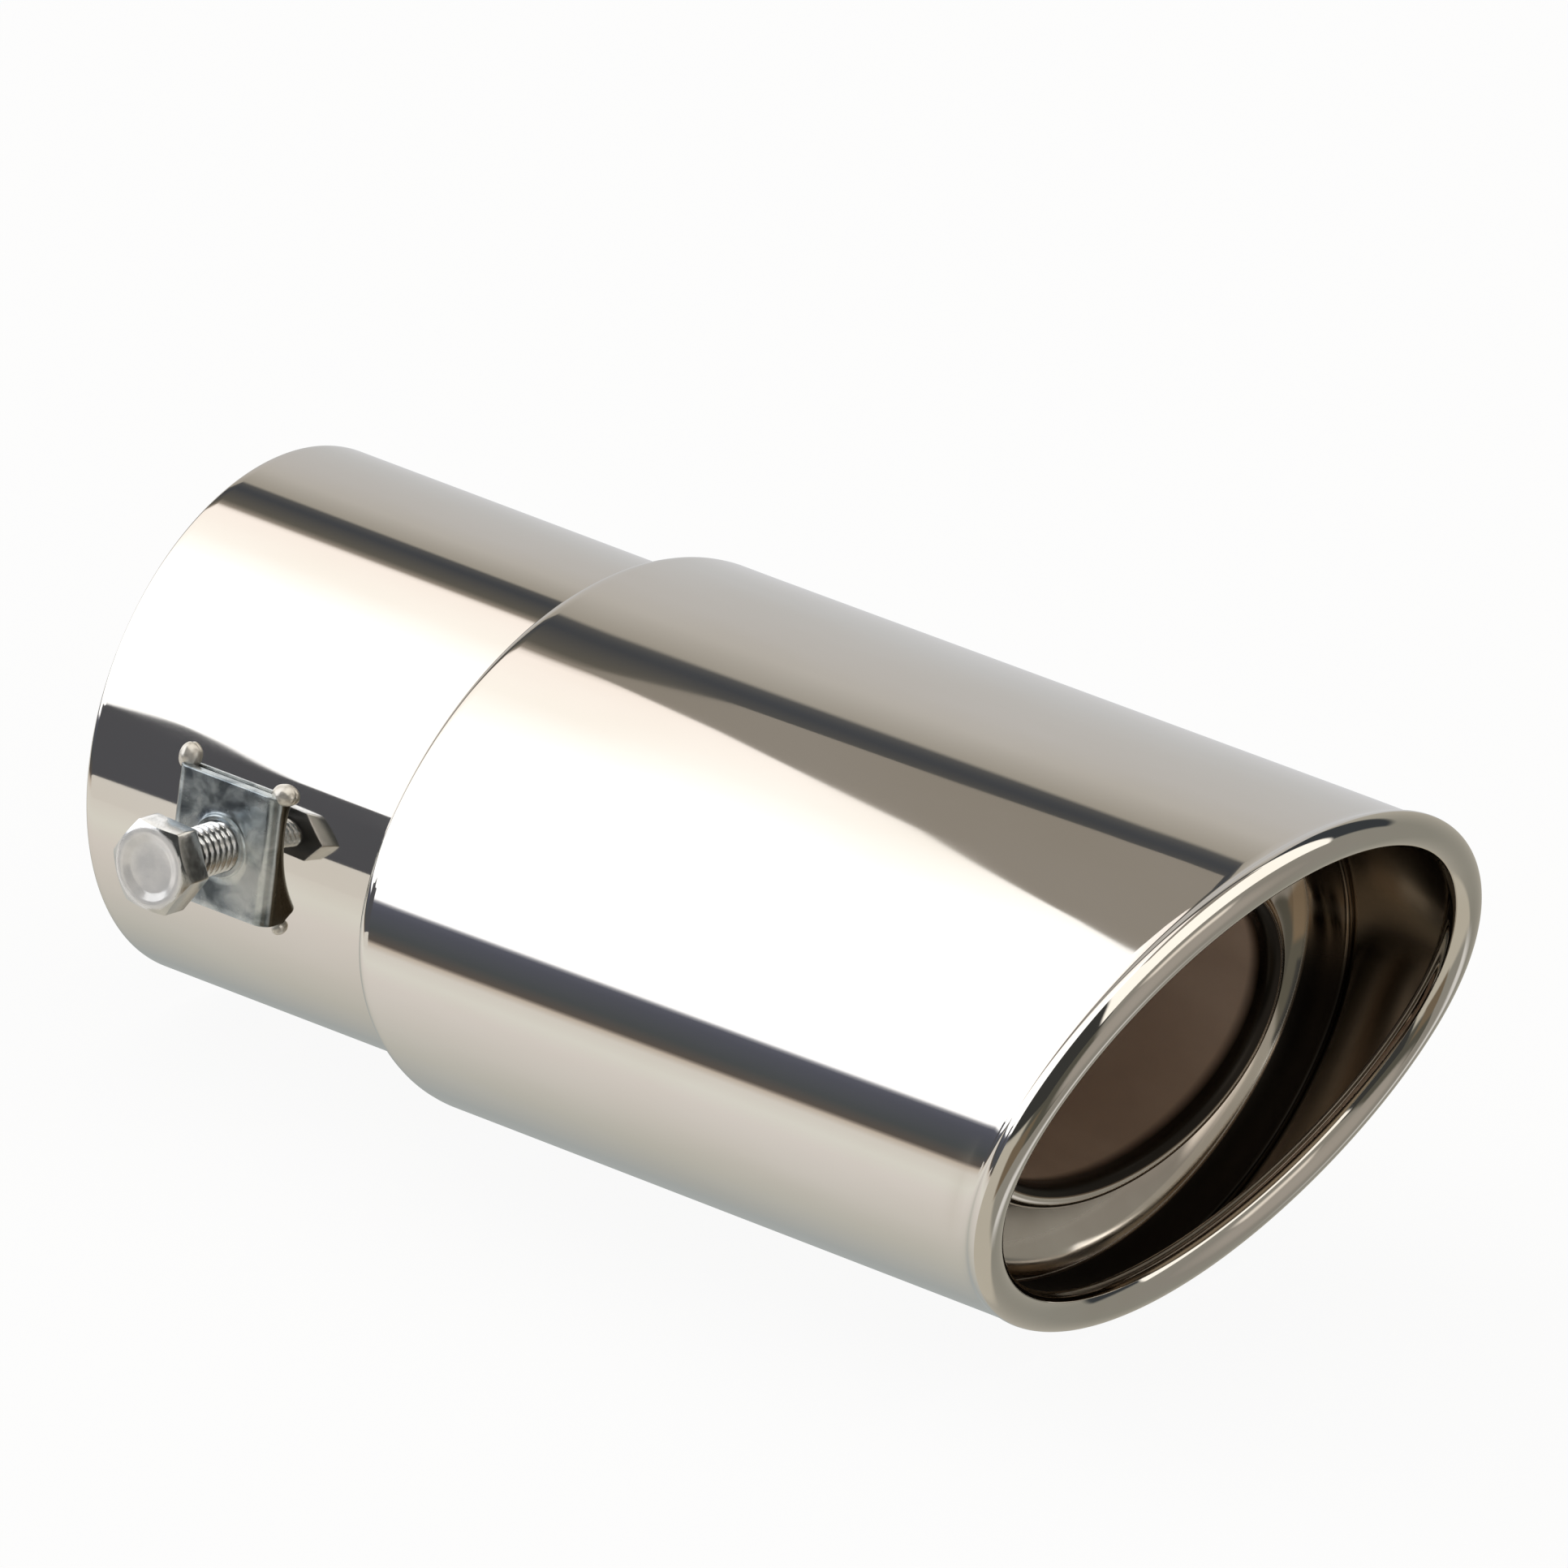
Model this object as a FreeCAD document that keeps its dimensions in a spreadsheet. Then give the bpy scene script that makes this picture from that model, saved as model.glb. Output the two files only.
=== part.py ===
import FreeCAD, Part
import math
import os

import Sketcher
from FreeCAD import Placement, Rotation, Vector

# Bolt-on exhaust tip: a round inlet collar, an oval double-walled shell with a slash-cut rolled mouth,
# and a welded channel bracket that carries one clamp bolt.
# Frame in millimetres: the origin is the centre of the collar's rear face, +X runs along the tube
# to the mouth, +Z is up along the short side of the oval, and the bracket is on the -Y side.

doc = FreeCAD.newDocument("exhaust_tip")

# Driving dimensions
SIZES = {
    # inlet collar
    "collar_diameter": 63.0,
    "collar_wall": 1.0,
    "collar_length": 68.0,
    "collar_edge_round": 0.3,
    "bolt_clearance_diameter": 7.2,
    # oval shell
    "shell_start": 48.7,
    "shell_half_width": 42.6,
    "shell_half_height": 32.6,
    "shell_wall": 0.9,
    "shell_rear_round": 1.5,
    "shell_blank_length": 125.0,
    # slash-cut mouth and its rolled rim
    "mouth_station": 141.2,
    "slash_angle": 20.6,
    "slash_reach": 60.0,
    "slash_margin": 20.0,
    "rim_radius": 2.1,
    "rim_wall": 0.9,
    "rim_inset": 1.55,
    "rim_setback": 1.2,
    "rim_gap_start": 172.0,
    "rim_gap_end": 222.0,
    # inner liner: a bowl with a protruding oval throat
    "liner_wall": 0.9,
    "liner_clearance": 0.3,
    "liner_front": 127.3,
    "liner_flange": 0.6,
    "bowl_radius": 9.0,
    "bowl_inner_radius": 2.6,
    "throat_inset": 14.4,
    "throat_front": 127.2,
    "throat_lip_radius": 1.5,
    "throat_length": 26.0,
    # clamp bracket, in a frame of its own on the collar
    "bracket_station": 21.2,
    "bracket_drop": -3.2,
    "bracket_tilt": 5.0,
    "bracket_width": 15.3,
    "bracket_height": 15.7,
    "bracket_face": 33.25,
    "bracket_root": 28.0,
    "bracket_wall": 1.2,
    "bracket_bend": 1.7,
    "boss_radius": 3.7,
    "boss_rise": 0.5,
    "bolt_hole_radius": 3.05,
    # tack welds on the four corners of the bracket
    "weld_rear_top": 1.55,
    "weld_front_top": 1.45,
    "weld_rear_bottom": 1.2,
    "weld_front_bottom": 0.9,
    "weld_stretch_along": 0.9,
    "weld_stretch_up": 1.05,
    "weld_stretch_out": 0.95,
    "weld_reach": 0.75,
    "weld_stand": 0.15,
    # clamp bolt
    "bolt_radius": 3.0,
    "bolt_length": 10.4,
    "bolt_standoff": 8.4,
    "head_flats": 10.0,
    "head_height": 4.0,
    "head_turn": 27.0,
    "head_crown_radius": 4.7,
    "head_crown_angle": 30.0,
    "head_crown_margin": 0.5,
    "head_dish_radius": 3.9,
    "head_dish_floor": 3.1,
    "head_dish_depth": 0.6,
    "bolt_tip_chamfer": 0.6,
}

sheet = doc.addObject("Spreadsheet::Sheet", "sizes")
for row, (alias, value) in enumerate(SIZES.items(), start=1):
    sheet.set(f"A{row}", alias)
    sheet.set(f"B{row}", str(value))
    sheet.setAlias(f"B{row}", alias)
doc.recompute()

# First guesses for sketch geometry come from the same table; the constraints then take over.
size = SIZES


# Shared helpers
def new_body(label):
    body = doc.addObject("PartDesign::Body", label)
    body.Label = label
    return body


def origin_plane(body, role):
    return next(item for item in body.Origin.OriginFeatures if item.Role == role)


def new_sketch(body, name, role, offset=None):
    sketch = body.newObject("Sketcher::SketchObject", name)
    sketch.AttachmentSupport = (origin_plane(body, role), [""])
    sketch.MapMode = "FlatFace"
    if offset is not None:
        sketch.AttachmentOffset = offset
    return sketch


def shift_along_normal(sketch, expression):
    sketch.setExpression(".AttachmentOffset.Base.z", expression)


def bind(sketch, kind, where, name, value, expression):
    index = sketch.addConstraint(Sketcher.Constraint(kind, *where, value))
    sketch.renameConstraint(index, name)
    sketch.setExpression(f"Constraints.{name}", expression)


def add_circle(sketch, name, radius, expression, centre=(0.0, 0.0)):
    circle = sketch.addGeometry(Part.Circle(Vector(*centre, 0), Vector(0, 0, 1), radius))
    bind(sketch, "Radius", (circle,), name, radius, expression)
    return circle


def centre_on_origin(sketch, geometry):
    sketch.addConstraint(Sketcher.Constraint("Coincident", geometry, 3, -1, 1))


def add_oval(sketch, name, half_width, half_height, width_expression, height_expression, seam_side=1):
    """A full ellipse on the origin, long axis across, sized by its two axis lines.

    seam_side is the end of the long axis where the curve starts: the shell's wall and its rolled rim
    start on opposite sides, so that their seams stay apart where the two are joined.
    """
    ends = (Vector(seam_side * half_width, 0, 0), Vector(0, seam_side * half_height, 0), Vector(0, 0, 0))
    oval = sketch.addGeometry(Part.Ellipse(*ends))
    sketch.exposeInternalGeometry(oval)
    long_axis = oval + 1
    short_axis = oval + 2
    centre_on_origin(sketch, oval)
    sketch.addConstraint(Sketcher.Constraint("Horizontal", long_axis))
    bind(sketch, "Distance", (long_axis,), f"{name}_width", 2 * half_width, f"2 * ({width_expression})")
    bind(sketch, "Distance", (short_axis,), f"{name}_height", 2 * half_height, f"2 * ({height_expression})")
    return oval


def add_rectangle(sketch, name, width, height, width_expression, height_expression):
    """A rectangle centred on the origin."""
    signs = ((-1, -1), (1, -1), (1, 1), (-1, 1))
    corners = [Vector(across * width / 2, along * height / 2, 0) for across, along in signs]
    sides = [
        sketch.addGeometry(Part.LineSegment(start, end))
        for start, end in zip(corners, corners[1:] + corners[:1])
    ]
    for this, following in zip(sides, sides[1:] + sides[:1]):
        sketch.addConstraint(Sketcher.Constraint("Coincident", this, 2, following, 1))
    for side, direction in zip(sides, ("Horizontal", "Vertical", "Horizontal", "Vertical")):
        sketch.addConstraint(Sketcher.Constraint(direction, side))
    sketch.addConstraint(Sketcher.Constraint("Symmetric", sides[0], 1, sides[2], 1, -1, 1))
    bind(sketch, "DistanceX", (sides[0], 1, sides[0], 2), f"{name}_width", width, width_expression)
    bind(sketch, "DistanceY", (sides[1], 1, sides[1], 2), f"{name}_height", height, height_expression)


def pad(body, name, sketch, expression, reverse=False):
    feature = body.newObject("PartDesign::Pad", name)
    feature.Profile = sketch
    feature.setExpression("Length", expression)
    feature.Reversed = reverse
    return feature


def pocket(body, name, sketch, expression=None, reverse=False, through=False):
    feature = body.newObject("PartDesign::Pocket", name)
    feature.Profile = sketch
    feature.Reversed = reverse
    if through:
        feature.Type = "ThroughAll"
        feature.Midplane = True
    else:
        feature.setExpression("Length", expression)
    return feature


def groove(body, name, sketch):
    feature = body.newObject("PartDesign::Groove", name)
    feature.Profile = sketch
    feature.ReferenceAxis = (sketch, ["V_Axis"])
    feature.Angle = 360.0
    return feature


def sweep(body, name, section, path):
    feature = body.newObject("PartDesign::AdditivePipe", name)
    feature.Profile = section
    feature.Spine = (path, ["Edge1"])
    return feature


def edges_where(base, wanted):
    """The base feature with the names of its edges for which wanted(edge) holds."""
    doc.recompute()
    return base, [
        f"Edge{number}"
        for number, edge in enumerate(base.Shape.Edges, start=1)
        if wanted(edge)
    ]


def round_edges(body, name, base, radius_expression, wanted):
    feature = body.newObject("PartDesign::Fillet", name)
    feature.Base = edges_where(base, wanted)
    feature.setExpression("Radius", radius_expression)
    return feature


def edge_at(axis, value, tolerance=0.01):
    """A test that holds for an edge lying wholly in the plane axis = value."""
    def holds(edge):
        box = edge.BoundBox
        low = getattr(box, f"{axis}Min")
        high = getattr(box, f"{axis}Max")
        return abs(low - value) < tolerance and abs(high - value) < tolerance
    return holds


# Inlet collar: a plain tube that slides over the tail pipe
def make_inlet_collar():
    body = new_body("inlet_collar")
    outer = new_sketch(body, "collar_outer", "YZ_Plane")
    centre_on_origin(outer, add_circle(outer, "outer", size["collar_diameter"] / 2,
                                       "sizes.collar_diameter / 2"))
    blank = pad(body, "collar_blank", outer, "sizes.collar_length")
    at_ends = (edge_at("X", 0.0), edge_at("X", size["collar_length"]))
    round_edges(body, "collar_edges", blank, "sizes.collar_edge_round",
                lambda edge: any(test(edge) for test in at_ends))

    inner = new_sketch(body, "collar_inner", "YZ_Plane")
    bore_radius = size["collar_diameter"] / 2 - size["collar_wall"]
    centre_on_origin(inner, add_circle(inner, "bore", bore_radius,
                                       "sizes.collar_diameter / 2 - sizes.collar_wall"))
    pocket(body, "collar_bore", inner, "sizes.collar_length", reverse=True)

    # The bolt passes through the wall under the bracket, square to the tilted bracket
    facing = new_sketch(body, "bolt_clearance", "XZ_Plane", bracket_plane_offset())
    bind_bracket_plane(facing)
    centre_on_origin(facing, add_circle(facing, "clearance", size["bolt_clearance_diameter"] / 2,
                                        "sizes.bolt_clearance_diameter / 2"))
    pocket(body, "bolt_clearance_hole", facing, "sizes.collar_diameter", reverse=True)
    return body


def bracket_plane_offset():
    """The collar's XZ plane moved and tipped so that its normal is the bolt's axis."""
    base = Vector(size["bracket_station"], size["bracket_drop"], 0)
    return Placement(base, Rotation(Vector(1, 0, 0), -size["bracket_tilt"]))


def bind_bracket_plane(sketch):
    sketch.setExpression(".AttachmentOffset.Base.x", "sizes.bracket_station")
    sketch.setExpression(".AttachmentOffset.Base.y", "sizes.bracket_drop")
    sketch.setExpression(".AttachmentOffset.Rotation.Angle", "-sizes.bracket_tilt")


# Outer shell: an oval tube, turned in at the rear and slash cut at the mouth, where its edge is rolled
def add_slash_outline(sketch):
    """The region ahead of the slanted mouth plane, seen from the side."""
    reach = size["slash_reach"]
    front = size["shell_start"] + size["shell_blank_length"] + size["slash_margin"]
    slope = math.tan(math.radians(size["slash_angle"]))
    cut = size["mouth_station"] - size["rim_setback"] / math.cos(math.radians(size["slash_angle"]))
    corners = [
        Vector(cut - reach * slope, -reach, 0),
        Vector(front, -reach, 0),
        Vector(front, reach, 0),
        Vector(cut + reach * slope, reach, 0),
    ]
    sides = [
        sketch.addGeometry(Part.LineSegment(start, end))
        for start, end in zip(corners, corners[1:] + corners[:1])
    ]
    for this, following in zip(sides, sides[1:] + sides[:1]):
        sketch.addConstraint(Sketcher.Constraint("Coincident", this, 2, following, 1))
    for side, direction in zip(sides, ("Horizontal", "Vertical", "Horizontal")):
        sketch.addConstraint(Sketcher.Constraint(direction, side))
    cut_text = "sizes.mouth_station - sizes.rim_setback / cos(sizes.slash_angle * 1 deg)"
    run_text = "sizes.slash_reach * tan(sizes.slash_angle * 1 deg)"
    bind(sketch, "DistanceY", (-1, 1, sides[3], 1), "top", reach, "sizes.slash_reach")
    bind(sketch, "DistanceY", (sides[0], 1, -1, 1), "bottom", reach, "sizes.slash_reach")
    bind(sketch, "DistanceX", (-1, 1, sides[1], 1), "front", front,
         "sizes.shell_start + sizes.shell_blank_length + sizes.slash_margin")
    bind(sketch, "DistanceX", (-1, 1, sides[3], 1), "cut_top", corners[3].x, f"{cut_text} + {run_text}")
    bind(sketch, "DistanceX", (-1, 1, sides[0], 1), "cut_bottom", corners[0].x, f"{cut_text} - {run_text}")


def add_hook_section(sketch, centre_height):
    """The rolled edge in section: a thin ring with a gap on its rear inner side."""
    outer_radius = size["rim_radius"]
    inner_radius = outer_radius - size["rim_wall"]
    first = math.radians(size["rim_gap_end"])
    last = math.radians(size["rim_gap_start"] + 360)
    centre = Vector(0, centre_height, 0)

    def on_ring(radius, angle):
        return centre + Vector(radius * math.cos(angle), radius * math.sin(angle), 0)

    arcs = [
        sketch.addGeometry(Part.ArcOfCircle(Part.Circle(centre, Vector(0, 0, 1), radius), first, last))
        for radius in (outer_radius, inner_radius)
    ]
    caps = [
        sketch.addGeometry(Part.LineSegment(on_ring(inner_radius, angle), on_ring(outer_radius, angle)))
        for angle in (first, last)
    ]
    sketch.addConstraint(Sketcher.Constraint("Coincident", arcs[0], 3, arcs[1], 3))
    for end, cap in zip((1, 2), caps):
        sketch.addConstraint(Sketcher.Constraint("Coincident", cap, 1, arcs[1], end))
        sketch.addConstraint(Sketcher.Constraint("Coincident", cap, 2, arcs[0], end))
        sketch.addConstraint(Sketcher.Constraint("PointOnObject", arcs[0], 3, cap))
    sketch.addConstraint(Sketcher.Constraint("PointOnObject", arcs[0], 3, -2))
    bind(sketch, "DistanceY", (-1, 1, arcs[0], 3), "centre_height", centre_height,
         "sizes.shell_half_width - sizes.rim_inset")
    bind(sketch, "Radius", (arcs[0],), "outer", outer_radius, "sizes.rim_radius")
    bind(sketch, "Radius", (arcs[1],), "inner", inner_radius, "sizes.rim_radius - sizes.rim_wall")
    for name, cap, alias in (("gap_end", caps[0], "rim_gap_end"), ("gap_start", caps[1], "rim_gap_start")):
        bind(sketch, "Angle", (-1, 1, cap, 1), name, math.radians(size[alias]), f"sizes.{alias} * 1 deg")


def make_outer_shell():
    body = new_body("outer_shell")
    outline = new_sketch(body, "shell_outline", "YZ_Plane")
    shift_along_normal(outline, "sizes.shell_start")
    add_oval(outline, "outline", size["shell_half_width"], size["shell_half_height"],
             "sizes.shell_half_width", "sizes.shell_half_height", seam_side=-1)
    pad(body, "shell_blank", outline, "sizes.shell_blank_length")

    side = new_sketch(body, "slash_line", "XZ_Plane")
    add_slash_outline(side)
    slash = pocket(body, "slash_cut", side, through=True)

    round_edges(body, "rear_round", slash, "sizes.shell_rear_round",
                edge_at("X", size["shell_start"]))

    hollow = new_sketch(body, "shell_hollow", "YZ_Plane")
    shift_along_normal(hollow, "sizes.shell_start + sizes.shell_wall")
    add_oval(hollow, "hollow", size["shell_half_width"] - size["shell_wall"],
             size["shell_half_height"] - size["shell_wall"],
             "sizes.shell_half_width - sizes.shell_wall", "sizes.shell_half_height - sizes.shell_wall",
             seam_side=-1)
    pocket(body, "hollow_cut", hollow, "sizes.shell_blank_length", reverse=True)

    seat = new_sketch(body, "collar_seat", "YZ_Plane")
    centre_on_origin(seat, add_circle(seat, "seat", size["collar_diameter"] / 2,
                                      "sizes.collar_diameter / 2"))
    pocket(body, "collar_opening", seat, "sizes.shell_start + 2 * sizes.shell_wall", reverse=True)

    # The rolled rim runs along an oval in the slanted mouth plane
    slant = size["slash_angle"]
    path_offset = Placement(Vector(0, 0, size["mouth_station"]), Rotation(Vector(1, 0, 0), slant))
    path = new_sketch(body, "rim_path", "YZ_Plane", path_offset)
    shift_along_normal(path, "sizes.mouth_station")
    path.setExpression(".AttachmentOffset.Rotation.Angle", "sizes.slash_angle")
    rim_half_height = (size["shell_half_height"] - size["rim_inset"]) / math.cos(math.radians(slant))
    add_oval(path, "rim", size["shell_half_width"] - size["rim_inset"], rim_half_height,
             "sizes.shell_half_width - sizes.rim_inset",
             "(sizes.shell_half_height - sizes.rim_inset) / cos(sizes.slash_angle * 1 deg)")

    section_offset = Placement(Vector(size["mouth_station"], 0, 0), Rotation(Vector(0, 1, 0), slant))
    section = new_sketch(body, "rim_section", "XY_Plane", section_offset)
    section.setExpression(".AttachmentOffset.Base.x", "sizes.mouth_station")
    section.setExpression(".AttachmentOffset.Rotation.Angle", "sizes.slash_angle")
    add_hook_section(section, size["shell_half_width"] - size["rim_inset"])
    sweep(body, "rolled_rim", section, path)
    return body


# Inner liner: flange against the shell wall, a bowl, and a throat with a rolled lip
def liner_section_points():
    """Centres and levels of the liner's section in its XY plane, from the sizes."""
    flange_level = size["shell_half_width"] - size["shell_wall"] - size["liner_clearance"]
    bowl_x = size["liner_front"] - size["liner_flange"]
    bowl_y = flange_level - size["bowl_radius"]
    lip_x = size["throat_front"] - size["throat_lip_radius"]
    lip_y = size["shell_half_width"] - size["throat_inset"]
    inner_y = lip_y + size["throat_lip_radius"] + size["bowl_inner_radius"]
    centre_gap = size["bowl_radius"] - size["liner_wall"] - size["bowl_inner_radius"]
    inner_x = bowl_x - math.sqrt(centre_gap ** 2 - (bowl_y - inner_y) ** 2)
    return flange_level, Vector(bowl_x, bowl_y, 0), Vector(inner_x, inner_y, 0), Vector(lip_x, lip_y, 0)


def add_liner_section(sketch):
    wall = size["liner_wall"]
    flange_level, bowl, inner, lip = liner_section_points()
    bowl_radius = size["bowl_radius"]
    inner_radius = size["bowl_inner_radius"]
    lip_radius = size["throat_lip_radius"]
    front = size["liner_front"]
    rear = size["throat_front"] - size["throat_length"]
    meeting = (inner - bowl).normalize()

    def line(start, end):
        return sketch.addGeometry(Part.LineSegment(start, end))

    def arc(centre, radius, start, middle, end):
        points = [centre + direction.normalize() * radius for direction in (start, middle, end)]
        return sketch.addGeometry(Part.Arc(*points))

    up = Vector(0, 1, 0)
    down = Vector(0, -1, 0)
    ahead = Vector(1, 0, 0)

    def bowl_arc(radius):
        return arc(bowl, radius, Vector(up), up + meeting, Vector(meeting))

    def inner_arc(radius):
        return arc(inner, radius, Vector(meeting), meeting + down, Vector(down))

    def lip_arc(radius):
        return arc(lip, radius, Vector(up), Vector(ahead), Vector(down))

    # front side of the sheet, from the flange to the end of the throat
    flange_front = line(Vector(front, flange_level - wall, 0), bowl + up * (bowl_radius - wall))
    bowl_front = bowl_arc(bowl_radius - wall)
    inner_front = inner_arc(inner_radius)
    neck_front = line(inner + down * inner_radius, lip + up * lip_radius)
    lip_front = lip_arc(lip_radius)
    throat_front = line(lip + down * lip_radius, Vector(rear, lip.y - lip_radius, 0))
    # rear side of the sheet, back to the flange
    throat_end = line(Vector(rear, lip.y - lip_radius, 0), Vector(rear, lip.y - lip_radius + wall, 0))
    throat_back = line(Vector(rear, lip.y - lip_radius + wall, 0), lip + down * (lip_radius - wall))
    lip_back = lip_arc(lip_radius - wall)
    neck_back = line(lip + up * (lip_radius - wall), inner + down * (inner_radius + wall))
    inner_back = inner_arc(inner_radius + wall)
    bowl_back = bowl_arc(bowl_radius)
    flange_back = line(bowl + up * bowl_radius, Vector(front, flange_level, 0))
    flange_end = line(Vector(front, flange_level, 0), Vector(front, flange_level - wall, 0))

    def nearest_ends(first, second):
        pairs = [(i, j) for i in (1, 2) for j in (1, 2)]
        return min(pairs, key=lambda ends: sketch.getPoint(first, ends[0]).distanceToPoint(
            sketch.getPoint(second, ends[1])))

    def connect(kind, first, second):
        first_end, second_end = nearest_ends(first, second)
        sketch.addConstraint(Sketcher.Constraint(kind, first, first_end, second, second_end))

    for chain in (
        (flange_front, bowl_front, inner_front, neck_front, lip_front, throat_front),
        (throat_back, lip_back, neck_back, inner_back, bowl_back, flange_back),
    ):
        for first, second in zip(chain, chain[1:]):
            connect("Tangent", first, second)
    for first, second in (
        (throat_front, throat_end), (throat_end, throat_back),
        (flange_back, flange_end), (flange_end, flange_front),
    ):
        connect("Coincident", first, second)
    for straight in (flange_front, neck_front, throat_front, throat_back, neck_back, flange_back):
        sketch.addConstraint(Sketcher.Constraint("Horizontal", straight))
    for cap in (throat_end, flange_end):
        sketch.addConstraint(Sketcher.Constraint("Vertical", cap))
    for first, second in ((bowl_front, bowl_back), (inner_front, inner_back), (lip_front, lip_back)):
        sketch.addConstraint(Sketcher.Constraint("Coincident", first, 3, second, 3))

    bind(sketch, "Distance", (flange_end,), "wall", wall, "sizes.liner_wall")
    bind(sketch, "Radius", (bowl_back,), "bowl", bowl_radius, "sizes.bowl_radius")
    bind(sketch, "Radius", (inner_front,), "inner", inner_radius, "sizes.bowl_inner_radius")
    bind(sketch, "Radius", (lip_front,), "lip", lip_radius, "sizes.throat_lip_radius")
    bind(sketch, "DistanceX", (-1, 1, flange_end, 1), "front", front, "sizes.liner_front")
    bind(sketch, "DistanceY", (-1, 1, flange_end, 1), "level", flange_level,
         "sizes.shell_half_width - sizes.shell_wall - sizes.liner_clearance")
    bind(sketch, "DistanceX", (-1, 1, bowl_back, 3), "bowl_centre", bowl.x,
         "sizes.liner_front - sizes.liner_flange")
    bind(sketch, "DistanceX", (-1, 1, lip_front, 3), "lip_centre", lip.x,
         "sizes.throat_front - sizes.throat_lip_radius")
    bind(sketch, "DistanceY", (-1, 1, lip_front, 3), "lip_level", lip.y,
         "sizes.shell_half_width - sizes.throat_inset")
    bind(sketch, "DistanceX", (-1, 1, throat_end, 1), "rear", rear,
         "sizes.throat_front - sizes.throat_length")


def make_inner_liner():
    body = new_body("inner_liner")
    path = new_sketch(body, "liner_path", "YZ_Plane")
    shift_along_normal(path, "sizes.throat_front")
    add_oval(path, "liner", size["shell_half_width"] - size["throat_inset"],
             size["shell_half_height"] - size["throat_inset"],
             "sizes.shell_half_width - sizes.throat_inset",
             "sizes.shell_half_height - sizes.throat_inset")
    section = new_sketch(body, "liner_section", "XY_Plane")
    add_liner_section(section)
    sweep(body, "liner_sheet", section, path)
    return body


# Clamp bracket: a short steel channel whose legs stand on the collar
def bracket_placement():
    base = Vector(size["bracket_station"], 0, size["bracket_drop"])
    return Placement(base, Rotation(Vector(1, 0, 0), -size["bracket_tilt"]))


def collar_centre_in_bracket():
    """Where the collar's axis crosses the bracket's own YZ plane."""
    tilt = math.radians(size["bracket_tilt"])
    return size["bracket_drop"] * math.sin(tilt), -size["bracket_drop"] * math.cos(tilt)


def place_on_collar(body):
    body.Placement = bracket_placement()
    body.setExpression(".Placement.Base.x", "sizes.bracket_station")
    body.setExpression(".Placement.Base.z", "sizes.bracket_drop")


def make_clamp_bracket():
    body = new_body("clamp_bracket")
    blank = new_sketch(body, "bracket_outline", "XZ_Plane")
    shift_along_normal(blank, "sizes.bracket_root")
    add_rectangle(blank, "blank", size["bracket_width"], size["bracket_height"],
                  "sizes.bracket_width", "sizes.bracket_height")
    pad(body, "bracket_blank", blank, "sizes.bracket_face - sizes.bracket_root")

    channel = new_sketch(body, "channel_outline", "XZ_Plane")
    shift_along_normal(channel, "sizes.bracket_root")
    add_rectangle(channel, "channel", size["bracket_width"] - 2 * size["bracket_wall"],
                  2 * size["bracket_height"], "sizes.bracket_width - 2 * sizes.bracket_wall",
                  "2 * sizes.bracket_height")
    hollowed = pocket(body, "channel_cut", channel,
                      "sizes.bracket_face - sizes.bracket_root - sizes.bracket_wall", reverse=True)

    # Bends: the two long outer corners of the plate
    face = -size["bracket_face"]
    half = size["bracket_width"] / 2
    on_face = edge_at("Y", face)
    at_sides = (edge_at("X", -half), edge_at("X", half))
    bends = round_edges(body, "outer_bends", hollowed, "sizes.bracket_bend",
                        lambda edge: on_face(edge) and any(test(edge) for test in at_sides))
    inner_face = edge_at("Y", face + size["bracket_wall"])
    inner_half = half - size["bracket_wall"]
    inner_sides = (edge_at("X", -inner_half), edge_at("X", inner_half))
    round_edges(body, "inner_bends", bends, "sizes.bracket_bend - sizes.bracket_wall",
                lambda edge: inner_face(edge) and any(test(edge) for test in inner_sides))

    # The legs' ends are cut to the collar's curve
    saddle = new_sketch(body, "saddle", "YZ_Plane")
    across, upward = collar_centre_in_bracket()
    circle = add_circle(saddle, "collar", size["collar_diameter"] / 2, "sizes.collar_diameter / 2",
                        (across, upward))
    bind(saddle, "DistanceX", (circle, 3, -1, 1), "across", -across,
         "-sizes.bracket_drop * sin(sizes.bracket_tilt * 1 deg)")
    bind(saddle, "DistanceY", (-1, 1, circle, 3), "upward", upward,
         "-sizes.bracket_drop * cos(sizes.bracket_tilt * 1 deg)")
    pocket(body, "saddle_cut", saddle, through=True)

    # Raised collar of the tapped hole
    ring = new_sketch(body, "boss_ring", "XZ_Plane")
    shift_along_normal(ring, "sizes.bracket_face - sizes.bracket_wall / 2")
    centre_on_origin(ring, add_circle(ring, "boss", size["boss_radius"], "sizes.boss_radius"))
    pad(body, "boss", ring, "sizes.boss_rise + sizes.bracket_wall / 2")
    tapped = new_sketch(body, "tapped_hole", "XZ_Plane")
    shift_along_normal(tapped, "sizes.bracket_face - 2 * sizes.bracket_wall")
    centre_on_origin(tapped, add_circle(tapped, "tapped", size["bolt_hole_radius"],
                                        "sizes.bolt_hole_radius"))
    pocket(body, "bolt_hole", tapped, "3 * sizes.bracket_wall + sizes.boss_rise", reverse=True)
    place_on_collar(body)
    return body


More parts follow.
